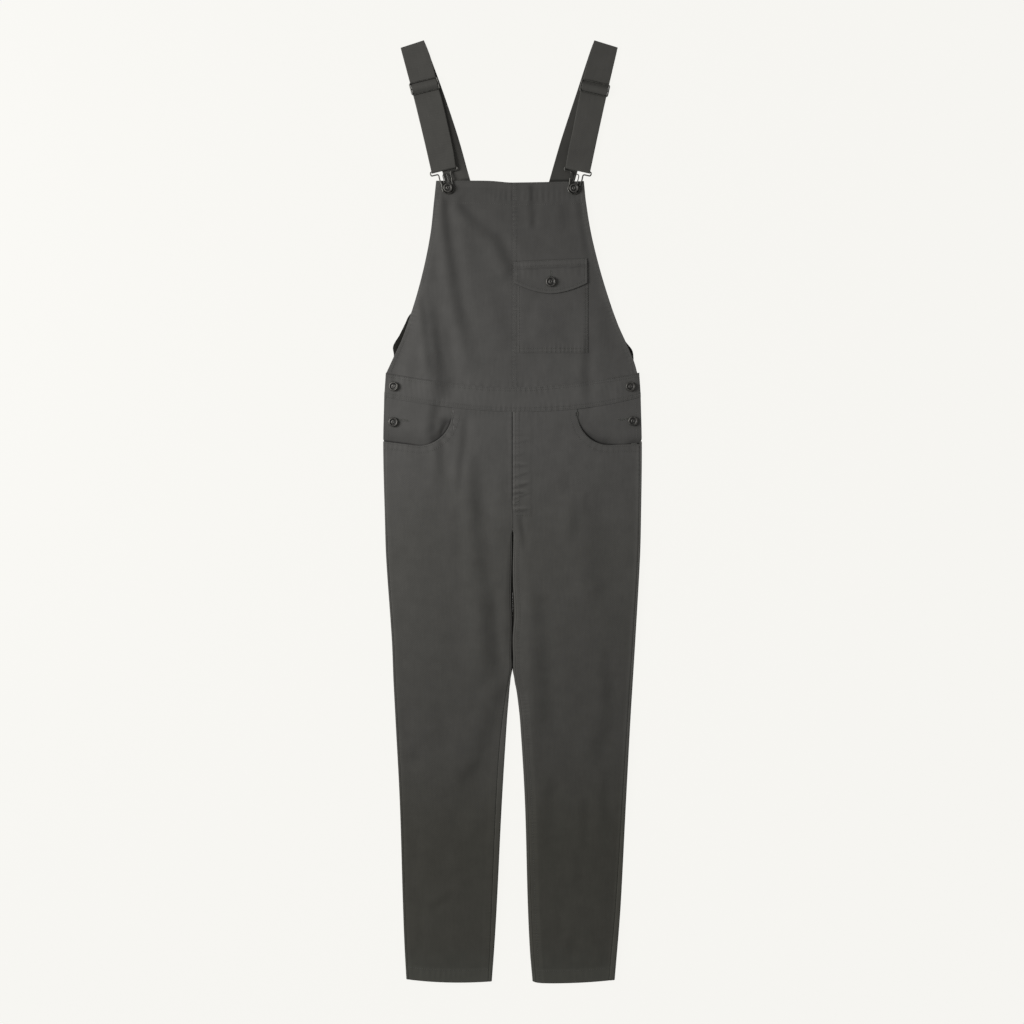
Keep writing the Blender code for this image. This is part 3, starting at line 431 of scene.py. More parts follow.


# Height added by doubled cloth, grooves under the stitches and puckers; or, in tone only, the painted shade in the
# grooves, the painted light and shade of the puckers, and the pale worn or dark painted-shadow strips
def seamRelief(x, height, seams, toneOnly=False):
    shape, x, height = x.shape, x.ravel(), height.ravel()
    total = np.zeros_like(x)
    for one in seams:
        near, along, across, whole = alongLine(x, height, one["line"], seamPlan["reach"])
        part = np.zeros_like(along)
        for row in one["rows"]:
            part -= seamPlan["grooveShade" if toneOnly else "groove"] * bell(across - row, seamPlan["grooveWidth"])
        centre = one["centre"]
        if centre is None:
            centre = np.mean(one["rows"]) if one["rows"] else 0.0
        part += ((seamPlan["puckerLightAndShade"] if toneOnly else 1.0) * one["pucker"]
                 * unevenWave(along, one["pitch"], one["seed"]) * bell(across - centre, one["reach"]))
        if toneOnly and one["pale"]:
            low, high, amount = one["pale"]
            part += amount * stripe(across, low, high, 0.6)
        elif not toneOnly:
            part += one["rise"] * stripe(across, *one["band"], 0.8) - one["dip"] * bell(across, seamPlan["dipWidth"])
        total[near] += part * stripe(along, 0.0, whole, 2.0)
    return total.reshape(shape)


def levelAt(height):  # for a seam that runs level
    return lambda xs: np.full_like(xs, height)


def armholeLine(side):
    heights = np.arange(1284.0, 972.0, -6.0)
    line = np.stack([sides[side] * readCurve(bibShape[side], heights), heights], axis=1)
    return line if side == "left" else line[::-1]


def levelLine(low, high, heightOf, step=6.0):  # a line across the garment, from low to high x
    xs = np.linspace(low, high, max(int(abs(high - low) / step), 2) + 1)
    return np.stack([xs, heightOf(xs)], axis=1)


def uprightLine(x, low, high, step=6.0):
    heights = np.linspace(low, high, max(int(abs(high - low) / step), 2) + 1)
    return np.stack([np.full_like(heights, x), heights], axis=1)


def waistLow(xs):
    return garment["waistSeam"] + waistLift(xs)


def waistHigh(xs):
    return garment["bibSeam"] + bibLift(xs)


# A line up or down the leg along its seam, with the front panel on its left
def legEdgeLine(side, which, low, high):
    heights = np.arange(low, high + 1.0, 8.0)
    outerRoll, innerRoll = rollAt(side, heights)
    across = outerEdge(side, heights) - outerRoll if which == "outer" else innerEdge(side, heights) + innerRoll
    line = np.stack([sides[side] * across, heights], axis=1)
    goesUp = (side == "right") == (which == "outer")
    return line if goesUp else line[::-1]


seams = {
    "bibLeft": [
        seam(armholeLine("left"), (0.0, 7.0), 0.25, (5.8,), 0.14, 6.5, 5.0, seed=1.3, pale=(0.0, 7.0, 0.38)),
        seam(levelLine(0.0, -122.0, bibTopHeight), (0.0, 37.0), 0.22, (1.8, 35.5), 0.12, 7.0, 7.0, 35.0, 2.1,
             pale=(0.0, 10.0, 0.20)),
        seam(levelLine(0.0, -122.0, bibTopHeight), pucker=0.16, pitch=8.5, reach=12.0, centre=22.0, seed=2.9),
        seam(uprightLine(-0.2, 955.0, 1281.0), pucker=0.10, pitch=6.5, reach=4.0, seed=3.0, dip=0.12),
        seam(levelLine(-200.0, 0.0, waistHigh), pucker=0.15, pitch=7.2, reach=9.0, seed=4.2),
    ],
    "bibRight": [
        seam(armholeLine("right"), (0.0, 7.0), 0.25, (5.8,), 0.14, 6.5, 5.0, seed=5.3, pale=(0.0, 6.4, 0.32)),
        seam(levelLine(114.0, 0.0, bibTopHeight), (0.0, 37.0), 0.22, (1.8, 35.5), 0.12, 7.0, 7.0, 35.0, 6.1,
             pale=(0.0, 7.0, 0.12)),
        seam(levelLine(114.0, 0.0, bibTopHeight), pucker=0.16, pitch=8.5, reach=12.0, centre=22.0, seed=6.9),
        seam(uprightLine(0.2, 1281.0, 955.0), (0.0, 7.2), 0.16, (1.7, 5.6), 0.14, 6.2, 5.0, seed=7.0, dip=0.08,
             pale=(0.0, 7.0, 0.12)),
        seam(levelLine(0.0, 200.0, waistHigh), pucker=0.15, pitch=7.2, reach=9.0, seed=8.2),
    ],
    "waistbandFront": [
        seam(levelLine(-205.0, 205.0, waistLow), (2.0, 36.0), 0.10, (1.7, 5.4), 0.12, 8.3, 8.0, 3.0, 9.1,
             pale=(0.0, 40.0, 0.12)),
        seam(levelLine(203.0, -203.0, waistHigh), (2.0, 36.0), 0.0, (1.7, 5.4), 0.12, 9.1, 8.0, 3.0, 10.3,
             pale=(0.0, 7.0, 0.10)),
        # painted shadow lines along the upper seam at the sides
        seam(levelLine(-128.0, -203.0, waistHigh), pale=(0.0, 1.5, -0.9)),
        seam(levelLine(203.0, 150.0, waistHigh), pale=(0.0, 1.5, -0.5)),
    ],
    "chestPocket": [
        seam(uprightLine(8.5, 1140.0, 1008.0), rows=(1.8,), pucker=0.12, pitch=6.5, reach=5.0, seed=11.0, dip=0.1,
             pale=(0.0, 4.0, 0.15)),
        seam(levelLine(8.5, 121.3, levelAt(1008.0)), rows=(2.0, 7.4), pucker=0.20, pitch=7.0,
             reach=9.0, seed=12.0, dip=0.1, pale=(0.0, 9.0, 0.08)),
        seam(uprightLine(121.3, 1008.0, 1140.0), rows=(1.4, 5.6), pucker=0.12, pitch=6.5, reach=5.0, seed=13.0,
             dip=0.05),
    ],
}

legSeams = {  # the inner seam: its rows of stitches, how deep it lies, and how pale it has worn
    "left": ((), 0.08, 0.14),
    "right": ((6.2,), 0.05, 0.30),
}
for side, sign in sides.items():
    hemEnds = sorted((sign * legShape[side][0][2], sign * legShape[side][0][1]))
    innerRows, innerDip, innerPale = legSeams[side]
    seams["legFront" + side.capitalize()] = [
        seam(levelLine(*hemEnds, lambda xs: hemHeight(side, xs)),
             (0.0, 21.5), 0.42, (19.8,), 0.08, 9.0, 9.0, 14.0, 14.0 + sign, pale=(0.8, 21.5, 0.30)),
        seam(legEdgeLine(side, "outer", 0.0, 862.0), pucker=0.10, pitch=7.0, reach=4.0, seed=16.0 + sign, dip=0.05,
             pale=(0.0, 5.0, 0.16)),
        seam(legEdgeLine(side, "inner", 0.0, 470.0), rows=innerRows, pucker=0.16, pitch=5.2, reach=6.0,
             seed=18.0 + sign, dip=innerDip, pale=(0.5, 13.0, innerPale)),
        seam(legEdgeLine(side, "inner", 470.0, 716.0), rows=innerRows, pucker=0.08, pitch=7.0, reach=5.0,
             seed=21.0 + sign),
        seam(scoopLine(side), (0.0, 12.5), 0.15, (2.0, 11.0), 0.12, 9.0, 8.0, 7.0, 20.0 + sign),
        seam(levelLine(104.0 * (1 + sign) / 2, 104.0 * (sign - 1) / 2, waistLow), pucker=0.14, pitch=7.6,
             reach=9.0, seed=22.0 + sign),
    ]

# The fly: the left front edge laps over, and a doubled strip is sewn down on the right front
flyPlan = {"low": 748.0, "high": 915.0, "rows": (4.2, 10.2), "outer": 35.0,
           "lapsTo": -0.9,  # how far over the middle the left front goes below it
           # puckers across it: (height, depth, how far they reach)
           "tucks": ((866, 0.5, 34), (845, 0.6, 24), (829, 1.5, 30), (812, 1.0, 33), (796, 1.5, 34), (786, 1.9, 29),
                     (777, 1.2, 34), (768, 1.9, 16), (757, 1.4, 32))}
seams["legFrontRight"] += [
    seam(uprightLine(0.0, flyPlan["high"], flyPlan["low"]), (2.5, flyPlan["outer"]), 0.32, flyPlan["rows"],
         0.16, 7.5, 7.0, 7.0, 24.0, 0.25, (0.2, 9.4, 0.28)),
]
seams["legFrontLeft"] += [
    seam(uprightLine(0.0, 775.0, 915.0), (0.0, 5.0), 0.42, (), 0.06, 9.0, 4.0, 2.0, 25.0),
    seam(uprightLine(-98.5, 921.0, 908.0), pale=(-1.8, 1.8, -0.9)),
]


def flyTucks(x, height):  # short level puckers across the fly strip
    total = np.zeros(x.shape)
    for k, (up, depth, end) in enumerate(flyPlan["tucks"]):
        slant = 0.20 + 0.18 * math.sin(2.3 * k)
        share = (height - up - slant * (x - 5.0)) / (2.8 + 0.6 * math.sin(1.9 * k))
        reach = ease((x - 1.0) / 3.0) * ease((end - x) / 16.0)
        total = total + depth * share * np.exp(-share * share) * reach
    return total


def crotchLap(height):  # where the left front goes on over the right one, between the slit and the fly
    return ease((height - garment["slitTop"] + 8.0) / 12.0) * (1.0 - ease((height - 752.0) / 14.0))


def legFrontRightMore(x, height):
    return flyTucks(x, height) - 0.3 * crotchLap(height) * (1.0 - ease((x - flyPlan["lapsTo"]) / 2.5))


bandWaves = {"level": 0.60, "height": 0.10, "pitch": 9.5, "slant": 0.15, "seed": 26.0}
pocketPlan = {"sides": (8.5, 121.3), "heights": (1008.0, 1143.0), "level": 0.66}
flapPlan = {"sides": (2.2, 119.7), "top": (1155.0, 1160.0), "sideBottom": 1120.0, "point": 17.0,
            "button": (61.2, 1122.0), "level": 1.0,
            "pocketRise": (0.85, 12.0), "pointLift": (0.35, 14.0)}  # how high, and over how far


def waistbandFrontMore(x, height):  # it stands a little off the legs, with slanting waves along its middle
    up = (height - waistLow(x)) / (waistHigh(x) - waistLow(x))
    waves = unevenWave(x + bandWaves["slant"] * height, bandWaves["pitch"], bandWaves["seed"])
    return bandWaves["level"] + bandWaves["height"] * waves * np.sin(np.pi * np.clip(up, 0.0, 1.0))


def flapTop(x):
    low, high = flapPlan["sides"]
    return mix(*flapPlan["top"], (x - low) / (high - low))


def flapBottom(x):
    low, high = flapPlan["sides"]
    off = np.abs(2.0 * (x - low) / (high - low) - 1.0)
    return flapPlan["sideBottom"] - flapPlan["point"] * (1.0 - np.clip(off, 0.0, 1.0) ** 1.8)


flapLow, flapHigh = flapPlan["sides"]
flapSide = uprightLine(flapLow, flapPlan["top"][0], flapPlan["sideBottom"])
flapFoot = levelLine(flapLow, flapHigh, flapBottom, 4.0)
flapHead = levelLine(flapHigh, flapLow, flapTop)
seams["pocketFlap"] = [
    seam(flapSide, (0.5, 6.0), 0.16, (5.0,), 0.08, 6.5, 4.0, seed=27.0, pale=(0.0, 4.4, 0.2)),
    seam(flapFoot, (0.5, 6.0), 0.16, (5.0,), 0.10, 6.5, 4.0, seed=28.0, pale=(0.0, 4.4, 0.2)),
    seam(uprightLine(flapHigh, flapPlan["sideBottom"], flapPlan["top"][1]), (0.5, 6.0), 0.16, (5.0,), 0.08, 6.5, 4.0,
         seed=29.0, pale=(0.0, 4.4, 0.4)),
    seam(flapHead, (4.0, 12.0), 0.10, (1.8, 9.5), 0.10, 7.0, 5.0, seed=30.0, dip=0.3, pale=(0.5, 9.0, 0.25)),
    # painted shadow: a dark line under the top band, and one along the top edge
    seam(flapHead, pucker=0.10, pitch=10.0, reach=9.0, centre=20.0, seed=30.7, pale=(12.6, 14.6, -0.60)),
    seam(flapHead, pale=(-1.0, 0.6, -0.9)),
    seam(flapHead, pale=(13.0, 60.0, 0.10)),
    # painted shadow along the side and the foot of the flap
    seam(flapSide, pale=(-1.0, 0.5, -1.1)),
    seam(flapFoot, pale=(-1.0, 0.5, -1.3)),
]


def pocketFlapMore(x, height):  # it goes over the pocket, and lifts at its point
    (rise, over), (lift, reach) = flapPlan["pocketRise"], flapPlan["pointLift"]
    return (flapPlan["level"] + rise * ease((flapTop(x) - height) / over)
            + lift * ease((flapBottom(x) + reach - height) / reach))


# How far a piece stands off the front surface, besides its seams
standsOff = {"chestPocket": pocketPlan["level"], "pocketFlap": pocketFlapMore, "waistbandFront": waistbandFrontMore,
             "legFrontRight": legFrontRightMore}


def levelOf(name):
    def read(x, height):
        more = standsOff.get(name, 0.0)
        more = more(x, height) if callable(more) else more
        return frontSurface(x, height) + more + seamRelief(x, height, seams[name])
    return read


scoopGapes = {  # (distance along the mouth from the waistband, how far the facing sinks there)
    "left": [(0, 0.2), (10, 0.4), (20, 2.6), (56, 2.8), (70, 0.6), (85, 0.5), (105, 1.3), (140, 1.3), (170, 0.4)],
    "right": [(0, 0.1), (12, 0.2), (30, 0.9), (48, 2.2), (78, 2.2), (90, 0.9), (105, 0.3), (128, 1.2), (150, 0.4)],
}
facingPlan = {
    "depth": 1.08, "waistDepth": 0.15,   # how far it lies under the front, and under the waistband
    "waist": (888.0, 26.0), "side": (118.0, 20.0),  # where it comes up to the waistband, and over how far
    "closed": {"left": 0.0, "right": 0.45},  # how much of its depth goes where the mouth lies closed
    "relief": 0.6, "lowest": 1.95,
    "sinkReach": 13.0,                   # how far inside the mouth it comes up again
    "edgeShade": (1.9, 1.2),             # how dark the painted shade is right under the leg's edge, and how far
    "mouthShade": {"left": (0.75, 24.0), "right": (1.15, 12.0)},  # the same painted shade inside the mouth
}


# How far the facing sinks under the edge of the pocket mouth, which hangs open at its lower corner, and the painted
# shade where it goes in under that edge and inside the mouth
def scoopGape(x, height):
    gape, shade = np.zeros(x.size), np.zeros(x.size)
    for side in sides:
        near, along, across, whole = alongLine(x.ravel(), height.ravel(), scoopLine(side), seamPlan["reach"])
        fromWaist = along if side == "left" else whole - along
        deep = readCurve(scoopGapes[side], fromWaist)
        gape[near] = np.maximum(gape[near], deep * (1.0 - ease(-across / facingPlan["sinkReach"])))
        gaping = np.clip(0.25 + deep / 2.4, 0.0, 1.2) * ease(fromWaist / 14.0)
        (darkest, edgeReach), (dark, reach) = facingPlan["edgeShade"], facingPlan["mouthShade"][side]
        shade[near] -= gaping * (darkest * bell(np.minimum(across + 0.8, 0.0), edgeReach)
                                 + dark * bell(np.minimum(across, 0.0), reach))
    return gape.reshape(x.shape), shade.reshape(x.shape)


facingSeams = [
    seam(uprightLine(-205.0, 985.0, 860.0), rows=(7.6,), pucker=0.08, pitch=7.0, reach=4.0, seed=31.0),
    seam(uprightLine(205.0, 860.0, 985.0), rows=(7.6,), pucker=0.08, pitch=7.0, reach=4.0, seed=32.0),
    seam(levelLine(-205.0, -96.0, waistLow), pucker=0.2, pitch=7.0, reach=8.0, seed=33.0),
    seam(levelLine(-158.0, -178.0, lambda xs: 878.0 - 0.13 * xs), pale=(-1.0, 1.6, -1.5)),  # a buttonhole, its slit painted dark as the shade inside it
    seam(levelLine(96.0, 205.0, waistLow), pucker=0.2, pitch=7.0, reach=8.0, seed=34.0),
]


def facingLevel(x, height):  # inside the pocket mouth, under the leg's edge, and level with it at the waist
    (start, over), (fromMiddle, across) = facingPlan["waist"], facingPlan["side"]
    nearWaist = ease((height - waistLift(x) - start) / over) * ease((np.abs(x) - fromMiddle) / across)
    gape = scoopGape(x, height)[0]
    closed = bySide(x, lambda side: facingPlan["closed"][side]) * ease((0.9 - gape) / 0.6)
    depth = mix(facingPlan["depth"], facingPlan["waistDepth"], nearWaist) * (1.0 - closed)
    z = frontSurface(x, height) - depth - gape + facingPlan["relief"] * seamRelief(x, height, facingSeams)
    return np.maximum(z, facingPlan["lowest"])


def addObject(name, data):
    thing = bpy.data.objects.new(name, data)
    bpy.context.scene.collection.objects.link(thing)
    return thing


def newMesh(name, points, faces):
    mesh = bpy.data.meshes.new(name)
    mesh.from_pydata((points - (0.0, garment["length"] / 2, 0.0)) * millimetre, [], faces)
    return mesh


def finishPiece(mesh, materials, stands):
    for material in materials:
        mesh.materials.append(material)
    mesh.shade_smooth()
    mesh.validate()
    piece = addObject(mesh.name, mesh)
    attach(piece, "root")
    if stands:
        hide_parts(*stands)


def unit(vectors):
    return vectors / np.maximum(np.linalg.norm(vectors, axis=-1, keepdims=True), 1e-9)


# A closed shell round a grid of mid-cloth points, with rounded edges. Its first material is on the side that the grid's
# columns and rows turn towards, its second on the other, and its third, where the outside is marked as shaded, holds
# painted shade.
def clothShell(name, grid, stands, slot="twill", thickness=garment["cloth"], keep=None, grain=None, toneShift=None,
               materials=None, shaded=None):
    rows, columns = grid.shape[:2]
    normals = unit(np.cross(np.gradient(grid, axis=1), np.gradient(grid, axis=0))).reshape(-1, 3)
    middle = grid.reshape(-1, 3)
    count = len(middle)
    corner = np.arange(count).reshape(rows, columns)
    keep = np.ones((rows - 1, columns - 1), bool) if keep is None else keep
    quads = np.stack([corner[:-1, :-1], corner[:-1, 1:], corner[1:, 1:], corner[1:, :-1]], axis=-1)[keep]
    starts, ends = quads.ravel(), np.roll(quads, -1, axis=1).ravel()
    border = ~np.isin(starts * count + ends, ends * count + starts)
    starts, ends = starts[border], ends[border]
    outward = np.zeros_like(middle)
    sideways = unit(np.cross(middle[ends] - middle[starts], normals[starts]))
    np.add.at(outward, starts, sideways)
    np.add.at(outward, ends, sideways)
    edge = np.unique(starts)
    rimOf = -np.ones(count, int)  # each point of the edge has one more beside it, which rounds the rim
    rimOf[edge] = np.arange(len(edge)) + 2 * count
    half = thickness / 2
    points = np.concatenate([middle + normals * half, middle - normals * half,
                             middle[edge] + unit(outward[edge]) * half * 0.7])
    faces = np.concatenate([
        quads, quads[:, ::-1] + count,
        np.stack([ends, starts, rimOf[starts], rimOf[ends]], axis=1),
        np.stack([rimOf[ends], rimOf[starts], starts + count, ends + count], axis=1),
    ])
    used, renumbered = np.unique(faces, return_inverse=True)
    mesh = newMesh(name, points[used], renumbered.reshape(-1, 4))
    sideOf = np.zeros(len(faces), np.int32)
    sideOf[len(quads):2 * len(quads)] = 1
    if shaded is not None:
        sideOf[:len(quads)] = np.where(shaded[keep], 2, 0)
    mesh.polygons.foreach_set("material_index", sideOf)
    flat = (grid[..., :2] if grain is None else grain).reshape(-1, 2)
    flat = np.concatenate([flat, np.zeros((count, 1))], axis=1) * millimetre
    flat = np.concatenate([flat, flat, flat[edge]])[used]
    toneShift = np.zeros(count) if toneShift is None else toneShift.ravel()
    toneShift = np.concatenate([toneShift, toneShift, toneShift[edge] + 0.12])[used]  # cut and turned edges wear first
    mesh.attributes.new("grain", "FLOAT_VECTOR", "POINT").data.foreach_set("vector", flat.ravel())
    mesh.attributes.new("wearAndPaintedShade", "FLOAT", "POINT").data.foreach_set("value", toneShift)
    finishPiece(mesh, materials or [drill, drillInside], stands)


# A panel over (x, height) places that run out from the middle, so the left ones are turned round. Its puckers, rows of
# stitches and seam strips go into its tone as wear and as painted light and shade, its fly tucks as painted highlights
# and shade, and a facing's pocket mouth as painted shade.
def sewPanel(name, places, node, surface=None, **more):
    places = places[:, ::-1] if name.endswith("Left") else places
    x, height = places[..., 0], places[..., 1]
    grid = np.stack([x, height, (surface or levelOf(name))(x, height)], axis=-1)
    toneShift = seamRelief(x, height, seams[name], True) if name in seams else np.zeros(x.shape)
    # painted highlights and shade on the fly's tucks, which the side light hardly catches
    if name == "legFrontRight":
        toneShift += 1.2 * flyTucks(x, height)
    # painted shade inside the pocket mouth
    if surface is facingLevel:
        toneShift += scoopGape(x, height)[1]
    clothShell(name, grid, [node], toneShift=toneShift, **more)


def linearColour(code, alpha=1.0):  # a hex colour as the linear values that Blender's sockets take
    parts = [int(code[k:k + 2], 16) / 255.0 for k in (1, 3, 5)]
    return (*[part / 12.92 if part <= 0.04045 else ((part + 0.055) / 1.055) ** 2.4 for part in parts], alpha)


def feed(tree, node, inputs):  # each input takes a value or another node's output
    for name, value in inputs.items():
        if isinstance(value, bpy.types.NodeSocket):
            tree.links.new(value, node.inputs[name])
        else:
            node.inputs[name].default_value = value


def addNode(tree, kind, inputs, **settings):
    node = tree.nodes.new(kind)
    for name, value in settings.items():
        setattr(node, name, value)
    feed(tree, node, inputs)
    return node


def newMaterial(name):
    material = bpy.data.materials.new(name)
    material.use_nodes = True
    tree = material.node_tree
    return material, tree, tree.nodes["Principled BSDF"]


def setRamp(node, stops):
    elements = node.color_ramp.elements
    while len(elements) < len(stops):
        elements.new(0.5)
    while len(elements) > len(stops):
        elements.remove(elements[-1])
    for element, (place, colour) in zip(elements, stops):
        element.position = place
        element.color = colour


drillPlan = {
    # (share of the way up from the hems, colour): painted shade for the light's falloff, palest round the waist, darker
    # at the shins and the bib's top
    "colourRamp": [(0.0, "#41413c"), (0.05, "#3e3d38"), (0.14, "#3c3b36"), (0.27, "#41403d"), (0.44, "#454441"),
            (0.60, "#4a4947"), (0.70, "#474644"), (0.86, "#42413f")],
    "inside": "#181714",    # the wrong side, painted near-black as the shade in the slit between the legs and inside the back bib
    "strap": "#42413e",
    "strapUnder": "#3c3b38",
    "waleMm": 2.6,          # drill has about 1.2 mm between its diagonal wales; drawn coarser so that they show
    "slubMm": 7.0,
    "mottle": 42.0,         # clouds of about 24 mm in the dye
    "bumpMm": 0.16,
    "tone": 0.69,           # to which wales, slubs, clouds, and wear with painted light and shade add their shares
    "shares": (0.10, 0.22, 0.30),  # of the wales, slubs and clouds
    "wearAndShade": 0.34,
}


def bandScale(periodMm):  # a Wave texture's scale for bands this far apart
    return 2.0 * math.pi / 20.0 / (periodMm * millimetre)


# Cotton drill, piece-dyed and washed: matt, with fine diagonal wales, a mottled dye and paler worn seams, and painted
# light and shade: a colour ramp up the garment that holds painted shade for the main drill, and a per-point shift that
# holds painted shadows, shaded creases and lit puckers
def makeDrill(name, stops, waleTurn=0.9, wearAndShade=1.0):
    material, tree, shader = newMaterial(name)
    grain = addNode(tree, "ShaderNodeAttribute", {}, attribute_name="grain").outputs["Vector"]
    toneShift = addNode(tree, "ShaderNodeAttribute", {}, attribute_name="wearAndPaintedShade").outputs["Fac"]
    place = addNode(tree, "ShaderNodeTexCoord", {}).outputs["Object"]
    upward = addNode(tree, "ShaderNodeSeparateXYZ", {"Vector": place}).outputs["Y"]
    half = garment["length"] / 2 * millimetre
    upShare = addNode(tree, "ShaderNodeMapRange", {"Value": upward, "From Min": -half, "From Max": half})
    # the colour up the garment; for the main drill this ramp holds painted shade for the light's falloff
    colourRamp = addNode(tree, "ShaderNodeValToRGB", {"Fac": upShare.outputs["Result"]})
    colourRamp.color_ramp.interpolation = "EASE"
    setRamp(colourRamp, [(up, linearColour(colour)) for up, colour in stops])
    turned = addNode(tree, "ShaderNodeVectorRotate", {"Vector": grain, "Angle": waleTurn}, rotation_type="Z_AXIS")
    wales = addNode(tree, "ShaderNodeTexWave", {
        "Vector": turned.outputs["Vector"], "Scale": bandScale(drillPlan["waleMm"]), "Distortion": 0.8,
        "Detail": 1.0, "Detail Scale": 2.0,
    }).outputs["Fac"]
    stretched = addNode(tree, "ShaderNodeVectorMath", {0: grain, 1: (1.0, 0.16, 1.0)}, operation="MULTIPLY")
    slubs = addNode(tree, "ShaderNodeTexNoise", {
        "Vector": stretched.outputs["Vector"], "Scale": 1600.0 / drillPlan["slubMm"], "Detail": 3.0,
        "Roughness": 0.6,
    }).outputs["Fac"]
    mottle = addNode(tree, "ShaderNodeTexNoise", {
        "Vector": grain, "Scale": drillPlan["mottle"], "Detail": 4.0, "Roughness": 0.55,
    }).outputs["Fac"]
    for limit, operation in ((-2.0, "MAXIMUM"), (0.6, "MINIMUM")):
        toneShift = addNode(tree, "ShaderNodeMath", {0: toneShift, 1: limit}, operation=operation).outputs[0]
    tone = drillPlan["tone"]
    for part, share in zip((wales, slubs, mottle, toneShift), (*drillPlan["shares"], drillPlan["wearAndShade"] * wearAndShade)):
        tone = addNode(tree, "ShaderNodeMath", {0: part, 1: share, 2: tone}, operation="MULTIPLY_ADD").outputs[0]
    toned = addNode(tree, "ShaderNodeVectorMath", {0: colourRamp.outputs["Color"], "Scale": tone}, operation="SCALE")
    rough = addNode(tree, "ShaderNodeMapRange", {
        "Value": slubs, "From Min": 0.3, "From Max": 0.7, "To Min": 0.84, "To Max": 0.94,
    })
    bumps = addNode(tree, "ShaderNodeMath", {0: slubs, 1: 0.9, 2: wales}, operation="MULTIPLY_ADD").outputs[0]
    relief = addNode(tree, "ShaderNodeBump", {
        "Height": bumps, "Strength": 0.55, "Distance": drillPlan["bumpMm"] * millimetre,
    })
    feed(tree, shader, {
        "Base Color": toned.outputs["Vector"], "Roughness": rough.outputs["Result"],
        "Normal": relief.outputs["Normal"], "Specular IOR Level": 0.15, "Sheen Weight": 0.03,
        "Sheen Roughness": 0.5, "Sheen Tint": linearColour("#b9b6ae"),
    })
    return material


# Spun polyester thread, dyed to match: a little darker and smoother than the cloth
def makeThread():
    material, tree, shader = newMaterial("spun polyester thread, dyed dark")
    place = addNode(tree, "ShaderNodeTexCoord", {}).outputs["Object"]
    twist = addNode(tree, "ShaderNodeTexNoise", {"Vector": place, "Scale": 900.0, "Detail": 1.0})
    colourRamp = addNode(tree, "ShaderNodeValToRGB", {"Fac": twist.outputs["Fac"]})
    setRamp(colourRamp, [(0.3, linearColour("#3d3d39")), (0.7, linearColour("#504f4b"))])
    feed(tree, shader, {"Base Color": colourRamp.outputs["Color"], "Roughness": 0.62})
    return material


# Steel or brass, blackened in a bath and waxed: near-black, with a soft shine worn brighter on the edges
def makeBlackMetal(name, dark, light, roughness):
    material, tree, shader = newMaterial(name)
    place = addNode(tree, "ShaderNodeTexCoord", {}).outputs["Object"]
    patches = addNode(tree, "ShaderNodeTexNoise", {"Vector": place, "Scale": 420.0, "Detail": 3.0}).outputs["Fac"]
    edges = addNode(tree, "ShaderNodeNewGeometry", {}).outputs["Pointiness"]
    toneShift = addNode(tree, "ShaderNodeMapRange", {
        "Value": edges, "From Min": 0.50, "From Max": 0.60, "To Min": 0.0, "To Max": 0.5,
    }).outputs["Result"]
    both = addNode(tree, "ShaderNodeMath", {0: patches, 1: toneShift}, operation="ADD").outputs[0]
    finish = addNode(tree, "ShaderNodeValToRGB", {"Fac": both})
    setRamp(finish, [(0.35, linearColour(dark)), (0.95, linearColour(light))])
    rough = addNode(tree, "ShaderNodeMapRange", {
        "Value": patches, "From Min": 0.3, "From Max": 0.7, "To Min": roughness - 0.06, "To Max": roughness + 0.08,
    })
    fine = addNode(tree, "ShaderNodeBump", {"Height": patches, "Strength": 0.15, "Distance": 0.05 * millimetre})
    feed(tree, shader, {
        "Base Color": finish.outputs["Color"], "Roughness": rough.outputs["Result"],
        "Normal": fine.outputs["Normal"], "Metallic": 1.0,
    })
    return material


print("Mixing the materials")
drill = makeDrill("cotton drill, dark grey, washed", drillPlan["colourRamp"])
drillInside = makeDrill("cotton drill, wrong side", [(0.0, "#2d2d29"), (0.5, "#343430")], waleTurn=-0.9)
drillPaintedShade = makeDrill("cotton drill, wrong side, unworn", [(0.0, drillPlan["inside"])], -0.9, 0.3)
strapDrill = makeDrill("cotton drill, strap, folded and pressed", [(0.0, drillPlan["strap"])], 1.2)
strapInside = makeDrill("cotton drill, strap, underside", [(0.0, drillPlan["strapUnder"])], 1.2)
thread = makeThread()
blackWire = makeBlackMetal("blackened steel wire", "#262626", "#5a5955", 0.48)
blackButton = makeBlackMetal("blackened brass, pressed", "#2a2a2a", "#676561", 0.52)

print("Sewing the bib")
edgeSteps = [0.0, 0.5, 1.4, 2.6, 3.9, 4.9, 5.5, 6.1, 6.9, 7.9, 9.2, 11.0]
seamSteps = [0.0, 0.5, 1.1, 1.7, 2.3, 3.2, 4.2, 5.0, 5.6, 6.2, 7.0, 7.9, 9.2, 11.0]
topSteps = [0.0, 0.6, 1.4, 2.2, 3.4, *np.arange(5.2, 33.0, 2.0), 34.0, 35.0, 35.6, 36.2, 37.0, 38.0, 39.4]
bibPlan = {"columns": 36, "rows": 128, "tuck": 4.0, "foot": 977.0}  # foot: where the armholes start
bibLow, bibHigh = garment["bibSeam"], garment["bibTop"]
for side, sign in sides.items():
    rows = []
    for level in gradedPlaces(bibLow - bibPlan["tuck"], bibHigh, [0.0, 2.0, 4.0], topSteps, bibPlan["rows"]):
        up = max((level - bibLow) / (bibHigh - bibLow), 0.0)
        edge = readCurve(bibShape[side], mix(bibPlan["foot"], bibHigh, up)) - garment["rim"]
        across = gradedPlaces(garment["middleGap"], edge, seamSteps, edgeSteps, bibPlan["columns"])
        top = bibTopHeight(sign * across / edge * bibShape[side][-1][1])
        height = level + bibLift(across) * (1.0 - up) - (bibHigh - top) * up**3
        rows.append(np.stack([sign * across, height], axis=-1))
    sewPanel("bib" + side.capitalize(), np.array(rows), "bib_" + side)

